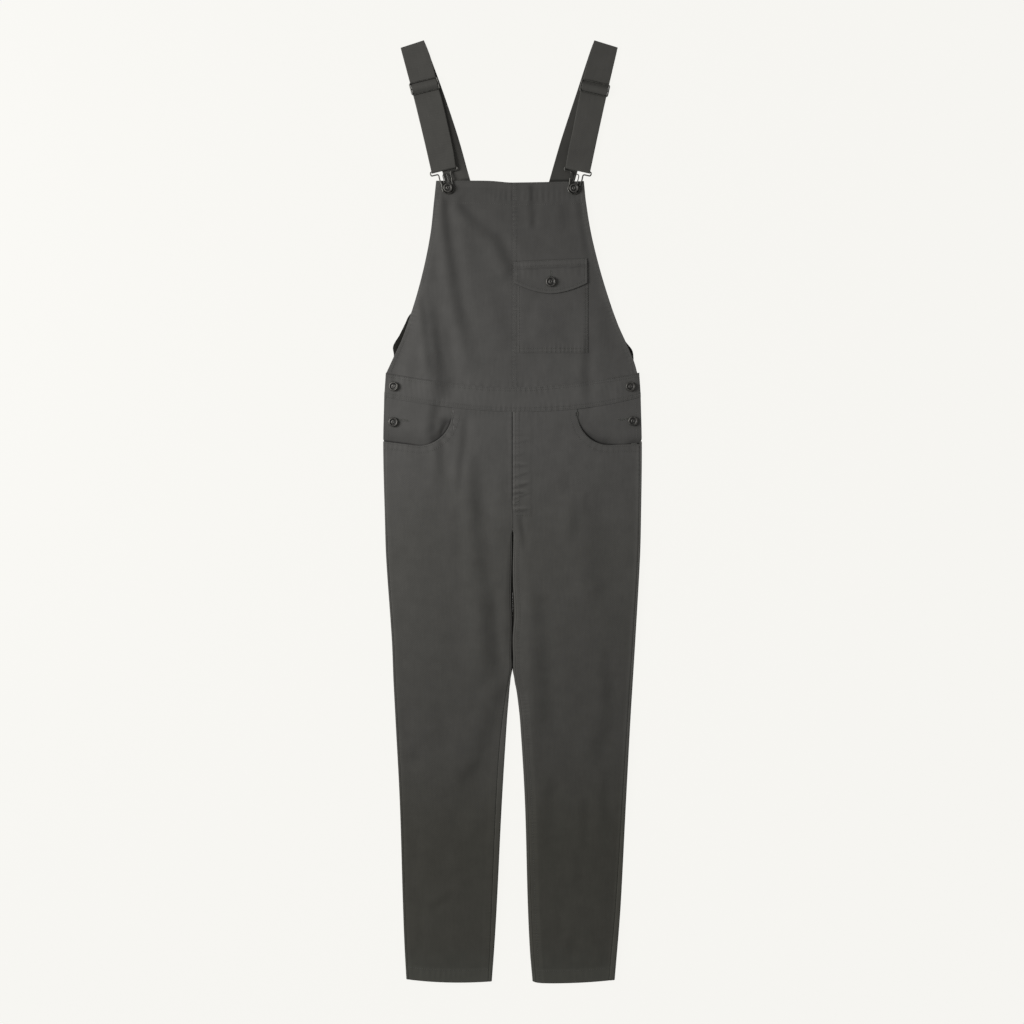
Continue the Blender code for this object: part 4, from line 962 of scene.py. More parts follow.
print("Sewing the chest pocket")
pocketSteps = [0.0, 0.6, 1.4, 2.0, 2.6, 3.6, 5.0, 6.2, 7.0, 7.8, 9.2]
xs = gradedPlaces(*(pocketPlan["sides"] + rim), pocketSteps, pocketSteps, 44)
heights = gradedPlaces(pocketPlan["heights"][0] + rim[0], pocketPlan["heights"][1], pocketSteps, [0.0, 2.0], 58)
sewPanel("chestPocket", np.stack(np.meshgrid(xs, heights), axis=-1), "chest_pocket", thickness=0.7)

flapSteps = [0.0, 0.5, 1.2, 2.2, 3.2, 4.2, 4.8, 5.4, 6.4, 8.0]
flapTopSteps = [0.0, 0.8, 1.8, 2.8, 4.5, 6.5, 8.0, 9.5, 11.0, 13.0]
xs = gradedPlaces(*(flapPlan["sides"] + rim), flapSteps, flapSteps, 56)
ups = gradedPlaces(0.0, 46.0, flapSteps, flapTopSteps, 11)[:, None] / 46.0
places = np.stack(np.broadcast_arrays(xs, mix(flapBottom(xs) + rim[0], flapTop(xs) + rim[1], ups)), axis=-1)
sewPanel("pocketFlap", places, "pocket_flap")

print("Sewing the waistbands")
bandSteps = [0.0, 0.5, 1.1, 1.7, 2.3, 3.4, 4.8, 5.4, 6.0, 7.2, 9.0]
bandPlan = {  # piece: node, shares of the half width, shares of its height, then how far in its ends and edges are
    "waistbandFront": ("waistband_front", np.linspace(-1.0, 1.0, 251),
                       gradedPlaces(0.0, 38.6, bandSteps, bandSteps, 10) / 38.6, (0.0, -0.6, -0.2)),
    "waistbandBack": ("waistband_back", np.linspace(1.0, -1.0, 80), np.linspace(0.0, 1.0, 12), (1.0, 0.2, 0.5)),
}
for name, (node, across, ups, (ends, foot, head)) in bandPlan.items():
    rows = []
    for up in ups:
        xs = (mix(205.0, 202.4, up) - ends) * across
        rows.append(np.stack([xs, mix(waistLow(xs) + foot, waistHigh(xs) - head, up)], axis=-1))
    more = {"thickness": 0.8} if name == "waistbandFront" else {"surface": backSurface}
    sewPanel(name, np.array(rows), node, **more)

legPlan = {
    "rowsBelow": 262, "rowsAbove": 84, "evenFrom": 700.0, "tuck": 4.0, "topColumns": (42, 38, 22),
    "backRows": 168, "flatColumns": 34, "seamColumns": 5, "bendColumns": 9, "bend": 0.8,
    "unrolls": (708.0, 18.0),    # where the inner seam ends, and over how far
    "slitGap": (0.35, 760.0, 40.0), "outerGap": 0.5,  # the seams sink between the front and the rolled edge
    "backsMeet": (489.5, 18.0),  # where the backs of the legs start to meet, and over how far
    "backsLap": -0.34,           # how far over the middle they go there
    "paintedShade": 499.0,             # the cloth in the slit is painted near-black as shade from here up
}
edgeWearAndLight = {"left": (0.30, 0.5), "right": (0.55, 0.6)}  # how pale the outer and inner rolled edges are: wear, and partly painted light on the right leg's outer edge, which rolls away from the lamp
hemSteps = [0.0, 0.5, 1.4, 2.8, 4.6, 6.6, 8.8, 11.0, 13.2, 15.4, 17.4, 18.8, 19.5, 20.1, 20.8, 21.8, 23.2, 25.4]


def seamLift(side, across, height):  # how far the curve of the hem lifts a place near it
    outer, inner = outerEdge(side, height), innerEdge(side, height)
    return hemLift(side, (across - inner) / (outer - inner)) * (1.0 - ease(height / 90.0))


def sewLegFront(side, sign):
    mouth, corner, low, sideHeight = scoopShape[side]
    flatEnd = readCurve(legShape[side], garment["sideSplit"]) - seamRoll[side]["outer"][-1][1] - legPlan["outerGap"]
    alongWaist, roundScoop, alongSide = legPlan["topColumns"]
    waist = np.linspace(garment["middleGap"], mouth, alongWaist)
    turns = np.linspace(0.02, math.pi / 2, roundScoop)
    toSide = mix(corner, flatEnd, np.linspace(0.0, 1.0, alongSide)[1:])
    topAcross = np.concatenate([waist, corner - (corner - mouth) * np.cos(turns), toSide])
    topHeight = np.concatenate([
        waistLow(sign * waist) + legPlan["tuck"],
        garment["waistSeam"] - (garment["waistSeam"] - low) * np.sin(turns),
        mix(low, sideHeight, (toSide - corner) / (garment["waistHalf"] - corner)),
    ]) - garment["rim"]
    even = np.linspace(0.0, 1.0, len(topAcross))

    def evenRow(level):
        outerRoll, innerRoll = rollAt(side, level)
        unrolls, (spread, endsBy, over) = legPlan["unrolls"], legPlan["slitGap"]
        innerRoll = innerRoll * (1.0 - ease((level - unrolls[0]) / unrolls[1]))
        start = innerEdge(side, level) + innerRoll + garment["middleGap"] + spread * ease((endsBy - level) / over)
        end = outerEdge(side, level) - outerRoll - legPlan["outerGap"]
        return mix(mix(start, flyPlan["lapsTo"], crotchLap(level)), end, even)

    rows = []
    for level in gradedPlaces(garment["rim"], legPlan["evenFrom"], hemSteps, [0.0], legPlan["rowsBelow"]):
        across = evenRow(level)
        rows.append(np.stack([sign * across, level + seamLift(side, across, level)], axis=-1))
    for up in np.linspace(0.0, 1.0, legPlan["rowsAbove"])[1:]:
        level = mix(legPlan["evenFrom"], topHeight, up)
        rows.append(np.stack([sign * mix(evenRow(level), topAcross, ease(up)), level], axis=-1))
    sewPanel("legFront" + side.capitalize(), np.array(rows), "front_leg_" + side)


# The back lies flat, and its edges come up and over to the seams on the front
def sewLegBack(side, sign):
    level = np.concatenate([
        gradedPlaces(garment["rim"], garment["rollTop"], hemSteps, [0.0], legPlan["backRows"]),
        [727.0, 731.0, 738.0, 750.0, 762.0], np.linspace(772.0, garment["sideSplit"] - garment["rim"], 24),
    ])
    outer, inner = outerEdge(side, level), innerEdge(side, level)
    outerRoll, innerRoll = rollAt(side, level)
    meet, over = legPlan["backsMeet"]
    bend, seamColumns, bendColumns = legPlan["bend"], legPlan["seamColumns"], legPlan["bendColumns"]
    surface = levelOf("legFront" + side.capitalize())

    def rolledEdge(edge, roll, inward, lowEdge):  # round the edge and down to the back, in from the seam
        start, end = np.maximum(roll - 0.1, bend + 0.7), bend + 0.5
        across = [edge + inward * mix(start, end, k / seamColumns) for k in range(seamColumns)]
        z = [surface(sign * place, level + seamLift(side, place, level)) for place in across]
        shoulder = surface(sign * (edge + inward * end), level)
        for k in range(bendColumns + 1):
            turn = math.pi * k / bendColumns
            target = edge if k < bendColumns / 2 else lowEdge
            across.append(edge + inward * end + (target - edge - inward * bend) * math.sin(turn))
            z.append(mix(backLevel, shoulder, (1.0 + math.cos(turn)) / 2))
        return across, z

    lowInner = mix(inner, np.minimum(inner, legPlan["backsLap"]), ease((level - meet) / over))
    innerAcross, innerZ = rolledEdge(inner, innerRoll, 1.0, lowInner)
    outerAcross, outerZ = rolledEdge(outer, outerRoll, -1.0, outer)
    innerAcross[-1] = np.where(level > garment["rollTop"] - 1.0, garment["middleGap"], innerAcross[-1])
    innerZ[-1] = np.full_like(level, backLevel)
    columns = legPlan["flatColumns"]
    flat = [mix(innerAcross[-1], outerAcross[-1], k / columns) for k in range(1, columns)]
    across = np.array(innerAcross + flat + outerAcross[::-1]).T
    z = np.array(innerZ + [backSurface(sign * place, level) for place in flat] + outerZ[::-1]).T
    height = level[:, None] + seamLift(side, across, level[:, None])
    grid = np.stack([sign * across, height, z], axis=-1)
    lastFlat = grid.shape[1] - len(outerAcross)
    sideEdge = readCurve(legShape[side], garment["waistSeam"]) - 1.2
    more = []
    for up in np.arange(1, 19) / 18:  # above the side opening only the flat part goes on
        row = grid[-1].copy()
        place = np.abs(row[:, 0])
        place[lastFlat:] = mix(place[lastFlat], sideEdge, ease(up * 4.0))
        row[:, 0] = sign * place
        row[:, 1] = mix(garment["sideSplit"] - garment["rim"], waistLow(row[:, 0]) - 0.4, up)
        row[:, 2] = backSurface(row[:, 0], row[:, 1])
        more.append(row)
    grid = np.concatenate([grid, more])
    toneShift = np.zeros(grid.shape[:2])
    toneShift[:, :seamColumns + 4] = edgeWearAndLight[side][1]
    toneShift[:, -seamColumns - 4:] = edgeWearAndLight[side][0]
    keep = np.ones((grid.shape[0] - 1, grid.shape[1] - 1), bool)
    keep[np.argmax(level > garment["rollTop"] + 1.0) - 1:, :len(innerAcross) - 1] = False
    keep[len(level) - 1:, lastFlat:] = False
    # the slit's cloth is painted near-black as the shade in it
    inSlit = np.zeros_like(keep)
    slitRows = (level[:-1] > legPlan["paintedShade"]) & (level[:-1] < garment["rollTop"])
    inSlit[:len(level) - 1, seamColumns + 4:seamColumns + bendColumns] = slitRows[:, None]
    turned = slice(None, None, -1 if side == "right" else 1)
    clothShell("legBack" + side.capitalize(), grid[:, turned], ["back_leg_" + side], keep=keep[:, turned],
               toneShift=toneShift[:, turned], materials=[drill, drillInside, drillPaintedShade], shaded=inSlit[:, turned])


def sewFacing(side, sign):  # inside the pocket mouth, and on under the leg's edge
    mouth, corner, low, sideHeight = scoopShape[side]
    across = np.linspace(mouth - 8.0, garment["waistHalf"] - garment["rim"], 90)
    toSide = (across - corner) / (garment["waistHalf"] - corner)
    turn = np.arccos(np.clip((corner - across) / (corner - mouth + 12.0), 0.0, 1.0))
    lowEdge = np.where(across < corner, garment["waistSeam"] - (garment["waistSeam"] - low + 12.0) * np.sin(turn),
                       mix(low, sideHeight, toSide) - 12.0)
    rows = []
    for up in np.linspace(0.0, 1.0, 60):
        height = mix(lowEdge, waistLow(sign * across) + 7.0, up)
        edge = readCurve(legShape[side], height) - mix(2.4, 0.5, ease((height - 866.5) / 4.0))
        place = np.minimum(mix(across, edge, ease(toSide) ** 3), edge)
        rows.append(np.stack([sign * place, height], axis=-1))
    sewPanel("hipFacing" + side.capitalize(), np.array(rows), "hip_facing_" + side, facingLevel)


print("Sewing the legs")
for side, sign in sides.items():
    sewLegFront(side, sign)
    sewLegBack(side, sign)
    sewFacing(side, sign)

print("Sewing the back of the bib")
backBibTop = 1141.0
backBibShape = {  # (height, edge)
    "left": [(976, 200.4), (992, 191.4), (1007, 189.6), (1021, 190.8), (1040, 180.6), (1061, 170.4), (1070, 166.2),
             (1085, 152.0), (1112, 103.0), (1141, 60.0)],
    "right": [(976, 199.0), (990, 193.2), (1003, 193.4), (1015, 191.2), (1030, 180.6), (1061, 162.0), (1085, 137.0),
              (1112, 98.0), (1141, 54.0)],
}
rows = []
across = np.linspace(-1.0, 1.0, 71)
for up in np.linspace(0.0, 1.0, 64):
    xs = across * bySide(across, lambda side: readCurve(backBibShape[side], mix(bibPlan["foot"], backBibTop, up)))
    rows.append(np.stack([xs, mix(waistHigh(xs) + garment["rim"], backBibTop, up)], axis=-1))
# its inside, seen past the front's armholes, is painted near-black as shade
sewPanel("bibBack", np.array(rows), "back_bib", backSurface, materials=[drillPaintedShade, drill])

strapPlan = {
    "width": 39.2, "cloth": 1.2, "foldRadius": 1.0, "low": 0.6, "gap": 0.3,
    "hookBar": 4.1, "hookWire": 1.1, "sliderBar": 4.1, "sliderWire": 1.0, "pitch": 18.5,
    "edges": [0.0, 0.8, 2.0, 3.6],
    # where it folds over the shoulder and ends, how far its front run bows, the lean of its back run, its slider's
    # height, how far the back run strays inwards at distances down from the fold, how much wider the front run is
    # pressed on its inner side at distances along it, the painted shade on the back run up the garment, and the painted
    # light along the edge of the front run, which lifts the shadow that it casts on the back run
    "left": {
        "fold": (-160.5, 1503.1), "end": (-110.0, 1299.8), "bow": 1.5, "lean": 0.345, "slider": 1434.4,
        "stray": [(0, 0.0), (40, 1.4), (90, 2.2), (160, 1.2), (210, -2.4), (250, -4.0), (361, -2.0)],
        "spread": [(0, 0.8), (14, 2.0), (28, 3.2), (44, 3.4), (60, 2.8), (82, 2.8), (95, 3.6), (125, 3.4),
                   (160, 3.1), (190, 2.0), (204, 0.7), (215, 0.6)],
        "backRunShading": [(1290, 0.30), (1312, -0.25), (1340, -1.15), (1370, -1.35), (1440, -1.3), (1500, -0.6)],
        "frontEdgeLight": 1.9,
    },
    "right": {
        "fold": (149.7, 1503.3), "end": (104.4, 1299.4), "bow": -0.9, "lean": 0.330, "slider": 1431.3,
        "stray": [(0, 0.6), (40, 0.8), (90, 0.5), (160, 0.5), (210, -1.5), (250, -2.8), (361, -0.8)],
        "spread": [(0, 0.6), (14, 1.0), (28, 2.2), (44, 3.0), (60, 2.8), (82, 2.8), (98, 2.9), (110, 2.5),
                   (125, 1.5), (150, 1.3), (175, 1.8), (190, 1.5), (204, 0.7), (215, 0.6)],
        "backRunShading": [(1290, -0.15), (1312, -0.35), (1345, -0.40), (1400, -0.15), (1500, 0.1)],
        "frontEdgeLight": 0.0,
    },
}


def cutCorners(rows):  # rounds a run of rows, and keeps both ends
    near = 0.75 * rows[:-1] + 0.25 * rows[1:]
    far = 0.25 * rows[:-1] + 0.75 * rows[1:]
    both = np.stack([near, far], axis=1).reshape(-1, *rows.shape[1:])
    return np.concatenate([rows[:1], both, rows[-1:]])


def buildStrap(side, sign):
    plan = strapPlan[side]
    cloth, low, radius = strapPlan["cloth"], strapPlan["low"], strapPlan["foldRadius"]
    halfWidth = strapPlan["width"] / 2
    fold, finish = np.array(plan["fold"]), np.array(plan["end"])
    length = np.linalg.norm(finish - fold)
    down = (finish - fold) / length
    crosswise = np.array([-down[1], down[0]])
    offsets = gradedPlaces(*((-halfWidth, halfWidth) + rim), strapPlan["edges"], strapPlan["edges"], 10)
    rows = []

    def slantedRow(place, z, lean):
        step = np.array([math.cos(lean), -sign * math.sin(lean)])
        rows.append([[*(place + off * step), z] for off in offsets])

    backLean = math.atan(plan["lean"])
    foldLean = mix(math.atan2(abs(down[0]), -down[1]), backLean, 0.8)

    def backPlace(drop):
        inward = drop * math.tan(backLean) + float(readCurve(plan["stray"], drop))
        return np.array([fold[0] - sign * inward, fold[1] - drop])

    startDrop = fold[1] - backBibTop - garment["rim"]
    startPlace = backPlace(startDrop)
    rows.append([[startPlace[0] + off / math.cos(backLean), startPlace[1], low] for off in offsets])
    for drop in (startDrop - 26.0, 290.0, 250.0, 230.0, 210.0, 185.0, 160.0, 125.0, 90.0, 65.0, 40.0, 14.0):
        slantedRow(backPlace(drop), low, backLean)
    for k in range(9):
        turn = math.pi * k / 8
        back = radius + cloth / 2 - radius * math.sin(turn)
        place = fold - back * np.array([sign * math.sin(foldLean), math.cos(foldLean)])
        slantedRow(place, low + radius * (1.0 - math.cos(turn)), foldLean)

    def flatRow(along, z):
        bow = plan["bow"] * math.sin(math.pi * min(max(along / length, 0.0), 1.0))
        wider = float(readCurve(plan["spread"], along)) * (0.5 - 0.5 * sign * offsets / offsets[-1])
        rows.append([[*(fold + along * down + (off + bow - sign * more) * crosswise), z]
                     for off, more in zip(offsets, wider)])

    loop = strapPlan["hookWire"] + 0.4 + cloth / 2
    sliderLoop = strapPlan["sliderWire"] + strapPlan["gap"] + cloth / 2
    bar = (fold[1] - plan["slider"]) / -down[1]
    half = strapPlan["pitch"] / 2
    end = length - loop - cloth / 2
    upper = low + 2 * radius
    goBack = strapPlan["sliderBar"] - sliderLoop
    frontLow = goBack + cloth + 0.36
    over = strapPlan["sliderBar"] + sliderLoop + cloth + strapPlan["gap"]
    topOfLoop = strapPlan["hookBar"] + loop
    for along, z in (
        (14.0, upper), (30.0, upper), (bar - 19.0, upper), (bar - half - 1.5, frontLow - 0.3),
        (bar - half + 2.0, frontLow + 0.1), (bar - 3.6, over - 0.9), (bar - 1.4, over), (bar + 1.4, over),
        (bar + 3.6, over - 0.9), (bar + half - 2.0, frontLow + 0.2), (bar + half + 1.5, frontLow),
        (bar + 26.0, frontLow), (bar + 60.0, frontLow), (end - 34.0, frontLow + 0.2),
        (end - 18.0, mix(frontLow, topOfLoop, 0.6)), (end - 8.0, topOfLoop - 0.1), (end, topOfLoop),
    ):
        flatRow(along, z)
    for turn in math.pi * np.arange(1, 9) / 9:  # round the hook's bar
        flatRow(end + loop * math.sin(turn), strapPlan["hookBar"] + loop * math.cos(turn))
    for share in (0.0, 0.4, 0.8):
        flatRow(mix(end, bar, share), goBack)
    for turn in np.radians(range(270, 59, -30)):  # and up round the slider's
        flatRow(bar + sliderLoop * math.cos(turn), strapPlan["sliderBar"] + sliderLoop * math.sin(turn))
    grid = cutCorners(cutCorners(np.array(rows)))
    # long flat runs get rows often enough for their weave and soft waves
    run = np.concatenate([[0.0], np.cumsum(np.linalg.norm(np.diff(grid[:, 8], axis=0), axis=1))])
    backRows = int(grid[:, 8, 1].argmax())
    behindBib = np.interp(np.arange(1272.0, 1296.0, 1.0), grid[:backRows, 8, 1], run[:backRows])
    wanted = np.unique(np.concatenate([run, behindBib] + [
        np.arange(a, b, 5.0) for a, b in zip(run[:-1], run[1:]) if b - a > 8.0]))
    fine = np.empty((len(wanted), *grid.shape[1:]))
    for column, axis in product(range(grid.shape[1]), range(3)):
        fine[:, column, axis] = np.interp(wanted, run, grid[:, column, axis])
    grain = np.stack(np.broadcast_arrays(offsets[None, :], wanted[:, None]), axis=-1)
    toneShift = np.broadcast_to(0.12 * bell(np.abs(offsets) - 19.4, 1.2), fine.shape[:2])
    # painted shade on the back run up the garment, and painted light beside the front run's edge, which lifts the
    # shadow that it casts
    backRunShading = readCurve(plan["backRunShading"], fine[..., 1])
    drop = (fold[1] - fine[..., 1]) / -down[1]
    frontEdge = halfWidth + readCurve(plan["spread"], drop) - sign * (fold[0] + drop * down[0])
    backRunShading = backRunShading + plan["frontEdgeLight"] * np.exp(-np.maximum(-sign * fine[..., 0] - frontEdge, 0.0) / 4.5)
    # painted shadow: the back run is painted darker where it goes down behind the bib's top hem
    backRunShading = backRunShading - 1.7 * bell(fine[..., 1] - bibTopHeight(fine[..., 0]) - 2.4, 1.7)
    toneShift = toneShift + backRunShading * (wanted < run[backRows])[:, None]
    clothShell("strap" + side.capitalize(), fine[::-1], ["strap_" + side], "strap_twill", cloth, grain=grain[::-1],
               toneShift=toneShift[::-1], materials=[strapDrill, strapInside])


print("Threading the straps")
for side, sign in sides.items():
    buildStrap(side, sign)

buttonPlan = {
    "steps": 40, "radius": 8.3, "bibRadius": 7.5, "sideRadius": 7.7, "bibHead": 7.4, "shank": 1.2,
    "bib": {"left": (-103.2, 1272.2), "right": (98.3, 1271.7)},
    "sideUpper": {"left": (-190.4, 955.0), "right": (188.6, 954.5)},
    "sideLower": {"left": (-190.7, 898.0), "right": (192.6, 899.5)},
    # how far they lean towards the window
    "tilt": {("sideUpper", "left"): 0.19, ("sideLower", "left"): 0.05, ("bib", "right"): 0.04},
    # (share of the radius, height over the underside of the head): a rolled rim, a dished face and a boss
    "profile": [(0.0, 1.55), (0.05, 1.5), (0.10, 1.75), (0.17, 2.15), (0.26, 2.25), (0.34, 2.05), (0.40, 1.6),
                (0.47, 1.45), (0.56, 1.6), (0.64, 2.2), (0.70, 2.75), (0.78, 3.05), (0.87, 2.95), (0.94, 2.5),
                (0.985, 1.8), (1.0, 1.15), (0.98, 0.55), (0.92, 0.12), (0.82, 0.0), (0.38, 0.0)],
}


def buildButton(name, node, place, surface, radius, head=None, tilt=0.0):
    base = float(surface(*np.array(place)[:, None])[0]) + halfCloth
    shank = head - base if head else buttonPlan["shank"]
    profile = [(share * radius, base + shank + up) for share, up in buttonPlan["profile"]]
    profile += [(0.36 * radius, base + 0.02), (0.0, base + 0.02)]
    steps, rings = buttonPlan["steps"], len(profile) - 2
    turns = 2.0 * math.pi * np.arange(steps) / steps
    around = np.stack([np.cos(turns), np.sin(turns), 0.0 * turns], axis=1)
    points = np.concatenate([(0.0, 0.0, z) + across * (around if across else around[:1]) for across, z in profile])
    points[:, :2] += place
    faces = [(0, 1 + k, 1 + (k + 1) % steps) for k in range(steps)]
    for ring, k in product(range(rings - 1), range(steps)):
        a = 1 + ring * steps
        b = a + steps
        faces.append((a + k, b + k, b + (k + 1) % steps, a + (k + 1) % steps))
    last = 1 + (rings - 1) * steps
    faces += [(last + (k + 1) % steps, last + k, len(points) - 1) for k in range(steps)]
    leaning = ease((points[:, 2] - base - 0.1) / shank)  # the head leans on its shank
    points[:, 2] += tilt * (points[:, 0] - place[0]) * leaning
    finishPiece(newMesh(name, points, faces), [blackButton], [node])


print("Setting the buttons")
halfCloth = garment["cloth"] / 2
for side in sides:
    for kind, name, node, surface, radius, head in (
        ("bib", "bibButton", "button_bib_", levelOf("bib" + side.capitalize()), "bibRadius", buttonPlan["bibHead"]),
        ("sideUpper", "upperSideButton", "button_side_upper_", levelOf("waistbandFront"), "sideRadius", None),
        ("sideLower", "lowerSideButton", "button_side_lower_", facingLevel, "sideRadius", None),
    ):
        buildButton(name + side.capitalize(), node + side, buttonPlan[kind][side], surface, buttonPlan[radius], head,
                    buttonPlan["tilt"].get((kind, side), 0.0))
buildButton("flapButton", "button_flap", flapPlan["button"], levelOf("pocketFlap"), buttonPlan["radius"])

# Hooks and sliders keep the frame's shape and get a better finish
for side, kind in product(sides, ("hook_", "slider_")):
    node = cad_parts[kind + side]
    for holder in node.material_slots:
        holder.material = blackWire

stitchPlan = {
    "pitch": 3.6, "tackPitch": 0.8, "holePitch": 0.62, "sides": 6,
    "row": (2.7, 0.36), "tack": (2.4, 0.34), "hole": (1.7, 0.30), "holeEnd": (1.6, 0.30),  # length and radius
    "rings": [(-1.0, 0.0), (-0.72, 0.75), (0.0, 1.0), (0.72, 0.75), (1.0, 0.0)],  # (share of half, share of radius)
}


# One small rounded bar of thread at each centre
def stitchPoints(centres, directions, length, radius, surface):
    around = stitchPlan["sides"]
    crosswise = np.stack([-directions[:, 1], directions[:, 0]], axis=1)
    parts, starts = [], [0]
    for share, thickness in stitchPlan["rings"]:
        place = centres + directions * (length * share / 2)
        z = surface(place[:, 0], place[:, 1]) + halfCloth + radius * (0.45 - 0.75 * share**2)
        for turn in 2.0 * math.pi * np.arange(around if thickness else 1) / around:
            spot = place + crosswise * (radius * thickness * math.cos(turn))
            parts.append(np.column_stack([spot, z + radius * thickness * 0.8 * math.sin(turn)]))
        starts.append(len(parts))
    faces = []
    for k in range(around):
        after = (k + 1) % around
        faces.append((0, 1 + after, 1 + k))
        for a, b in ((starts[1], starts[2]), (starts[2], starts[3])):
            faces += [(a + k, a + after, b + after), (a + k, b + after, b + k)]
        faces.append((starts[3] + k, starts[3] + after, starts[4]))
    allFaces = np.array(faces)[None] + (np.arange(len(centres)) * len(parts))[:, None, None]
    return np.stack(parts, axis=1).reshape(-1, 3), allFaces.reshape(-1, 3)


def stitchRow(line, inset=0.0, keep=None):  # where the stitches of a row lie, which way they run, and their size
    run, tangents = lineFrame(line)
    path = line + inset * np.stack([-tangents[:, 1], tangents[:, 0]], axis=1)
    run, tangents = lineFrame(path)
    at = np.arange(2.0, run[-1] - 2.0, stitchPlan["pitch"])
    centres, ways = (np.stack([np.interp(at, run, part[:, k]) for k in (0, 1)], axis=1) for part in (path, tangents))
    chosen = keep(centres) if keep else slice(None)
    return centres[chosen], unit(ways)[chosen], *stitchPlan["row"]


# Close stitches across a line, as in a bar tack or the side of a buttonhole
def stitchTack(place, angle, length, spacing=stitchPlan["tackPitch"], size="tack"):
    way = np.array([math.cos(angle), math.sin(angle)])
    centres = np.array(place) + np.arange(-length / 2, length / 2 + 0.01, spacing)[:, None] * way
    return centres, np.broadcast_to([-way[1], way[0]], centres.shape), *stitchPlan[size]


def stitchHole(place, angle, length):  # both sides of a buttonhole, and its ends
    way = np.array([math.cos(angle), math.sin(angle)])
    across = np.array([-way[1], way[0]])
    pitch = stitchPlan["holePitch"]
    return ([stitchTack(place + off * across, angle, length, pitch, "hole") for off in (-1.0, 1.0)]
            + [stitchTack(place + off * way * length / 2, angle + math.pi / 2, 2.6, pitch, "holeEnd")
               for off in (-1.0, 1.0)])


def stitchSeams(name, keep=None):
    return [stitchRow(one["line"], row, keep) for one in seams[name] for row in one["rows"]]


def sewStitches(name, parts, surface):  # the stitches of several rows in one piece
    points, faces, offset = [], [], 0
    for part in parts:
        if len(part[0]):
            some, sideFaces = stitchPoints(*part, surface)
            points.append(some)
            faces.append(sideFaces + offset)
            offset += len(some)
    finishPiece(newMesh(name, np.concatenate(points), np.concatenate(faces)), [thread], [])


print("Stitching")
flyTacks = ((6.5, 771.0), 0.0, 7.0), ((9.0, 749.0), 0.0, 10.0), ((194.4, 863.5), 0.1, 8.0)
flyEnds = (10.0, 36.0, 748.5), (4.0, 34.0, 865.0)
for side, sign in sides.items():
    label = side.capitalize()
    sewStitches("bibStitching" + label, stitchSeams("bib" + label), levelOf("bib" + label))
    legRows = stitchSeams("legFront" + label)
    if side == "right":
        legRows += [stitchTack(*tack) for tack in flyTacks]
        legRows += [stitchRow(levelLine(low, high, levelAt(height))) for low, high, height in flyEnds]
    legRows.append(stitchTack((sign * (scoopShape[side][0] + 1.0), 911.0), math.pi / 2, 7.0))
    sewStitches("legStitching" + label, legRows, levelOf("legFront" + label))
    x, height = buttonPlan["sideLower"][side]
    edgeRun = np.array([(sign * (readCurve(legShape[side], h) - 8.2), h) for h in np.arange(872.0, 934.0, 6.0)])
    facingRows = stitchHole((x - sign * 15.0, height + 3.0), 0.12 * sign, 19.0)
    sewStitches("facingStitching" + label, facingRows + [stitchRow(edgeRun)], facingLevel)

sewStitches("waistbandStitching", stitchSeams("waistbandFront"), levelOf("waistbandFront"))
pocketRows = stitchSeams("chestPocket", lambda centres: centres[:, 1] < flapBottom(centres[:, 0]) + 3.0)
sewStitches("pocketStitching", pocketRows, levelOf("chestPocket"))
flapHole = np.array(flapPlan["button"]) + (0.0, 8.5)
sewStitches("flapStitching", stitchSeams("pocketFlap") + stitchHole(flapHole, math.pi / 2, 17.0), levelOf("pocketFlap"))

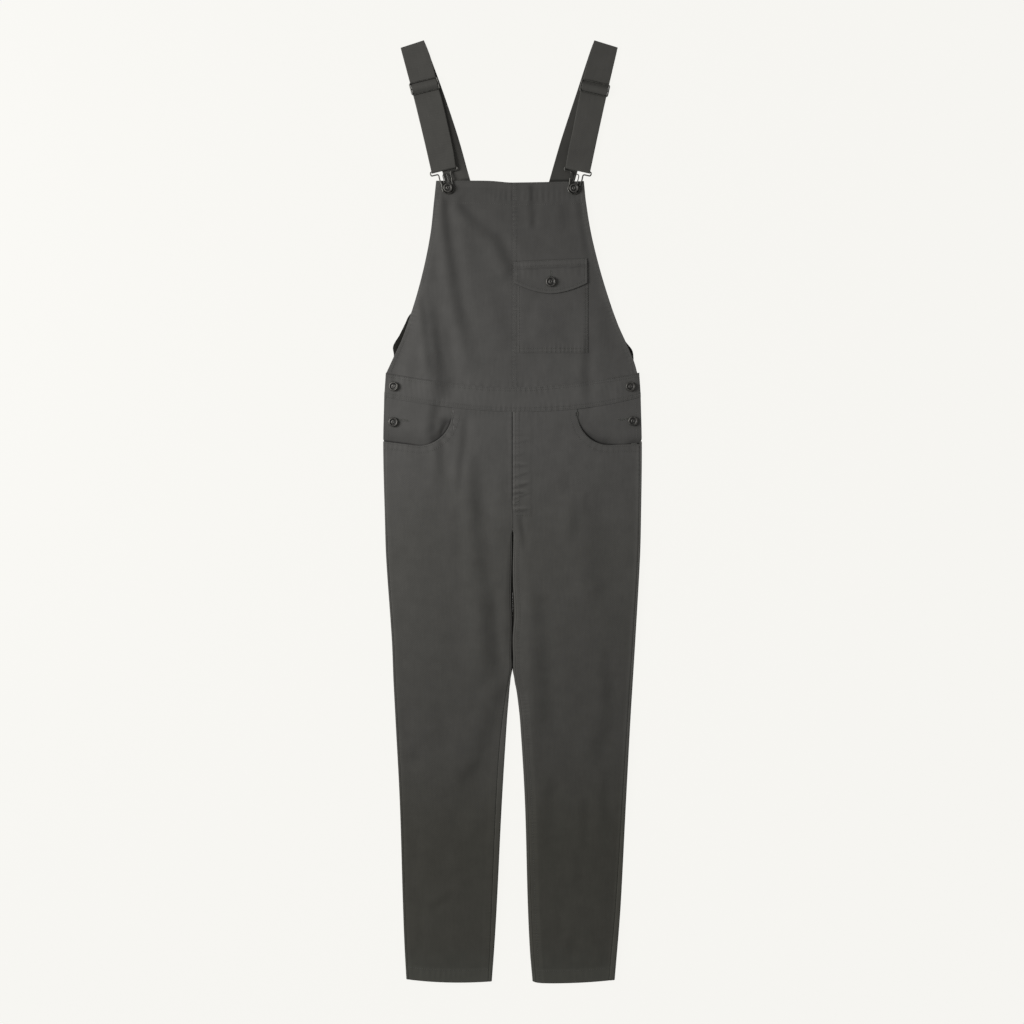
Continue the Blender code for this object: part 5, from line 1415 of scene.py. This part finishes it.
roomPlan = {
    "table": "#f7f6f2",
    "tableGlow": 0.975,      # the share of the table's brightness that comes from below
    "tableReach": 6.0,
    "tableLevel": -0.0004,   # just under the cloth
    "sky": 0.42,
    "camera": (-0.0008, 0.0001, 3.871),
    "lens": 85.0,
    "softbox": {"place": (-1.55, 0.5, 1.0), "aim": (0.0, 0.1, 0.0), "size": 0.8, "watts": 40.4},
}

print("Lighting the room")
floorMesh = bpy.data.meshes.new("floor")
corners = [(a * roomPlan["tableReach"], b * roomPlan["tableReach"], roomPlan["tableLevel"])
           for a, b in ((-1, -1), (1, -1), (1, 1), (-1, 1))]
floorMesh.from_pydata(corners, [], [(0, 1, 2, 3)])
floor = addObject("floor", floorMesh)
table, tree, shader = newMaterial("light table, opal acrylic")  # lit from below, so it stays pale and even
place = addNode(tree, "ShaderNodeTexCoord", {}).outputs["Object"]
clouds = addNode(tree, "ShaderNodeTexNoise", {"Vector": place, "Scale": 3.0}).outputs["Fac"]
tint = addNode(tree, "ShaderNodeValToRGB", {"Fac": clouds})
dimmed = [part * (1.0 - roomPlan["tableGlow"]) for part in linearColour(roomPlan["table"])[:3]]
setRamp(tint, [(0.3, (*[part * 0.98 for part in dimmed], 1.0)), (0.7, (*dimmed, 1.0))])
feed(tree, shader, {
    "Base Color": tint.outputs["Color"], "Emission Color": linearColour(roomPlan["table"]),
    "Emission Strength": roomPlan["tableGlow"], "Roughness": 0.95, "Specular IOR Level": 0.0,
})
floorMesh.materials.append(table)

world = bpy.data.worlds.new("soft daylight")
bpy.context.scene.world = world
world.use_nodes = True
background = world.node_tree.nodes["Background"]
background.inputs["Color"].default_value = linearColour("#ffffff")
background.inputs["Strength"].default_value = roomPlan["sky"]

softbox = roomPlan["softbox"]
lamp = bpy.data.lights.new("window softbox", "AREA")
lamp.shape = "SQUARE"
lamp.size = softbox["size"]
lamp.energy = softbox["watts"]
holder = addObject("window softbox", lamp)
holder.location = softbox["place"]
holder.rotation_euler = (Vector(softbox["aim"]) - Vector(softbox["place"])).to_track_quat("-Z", "Y").to_euler()

cameraData = bpy.data.cameras.new("camera")
cameraData.lens = roomPlan["lens"]
cameraData.sensor_width = 36.0
cameraData.clip_start = 0.05
camera = addObject("camera", cameraData)
camera.location = roomPlan["camera"]
bpy.context.scene.camera = camera
bpy.context.scene.view_settings.view_transform = "Standard"
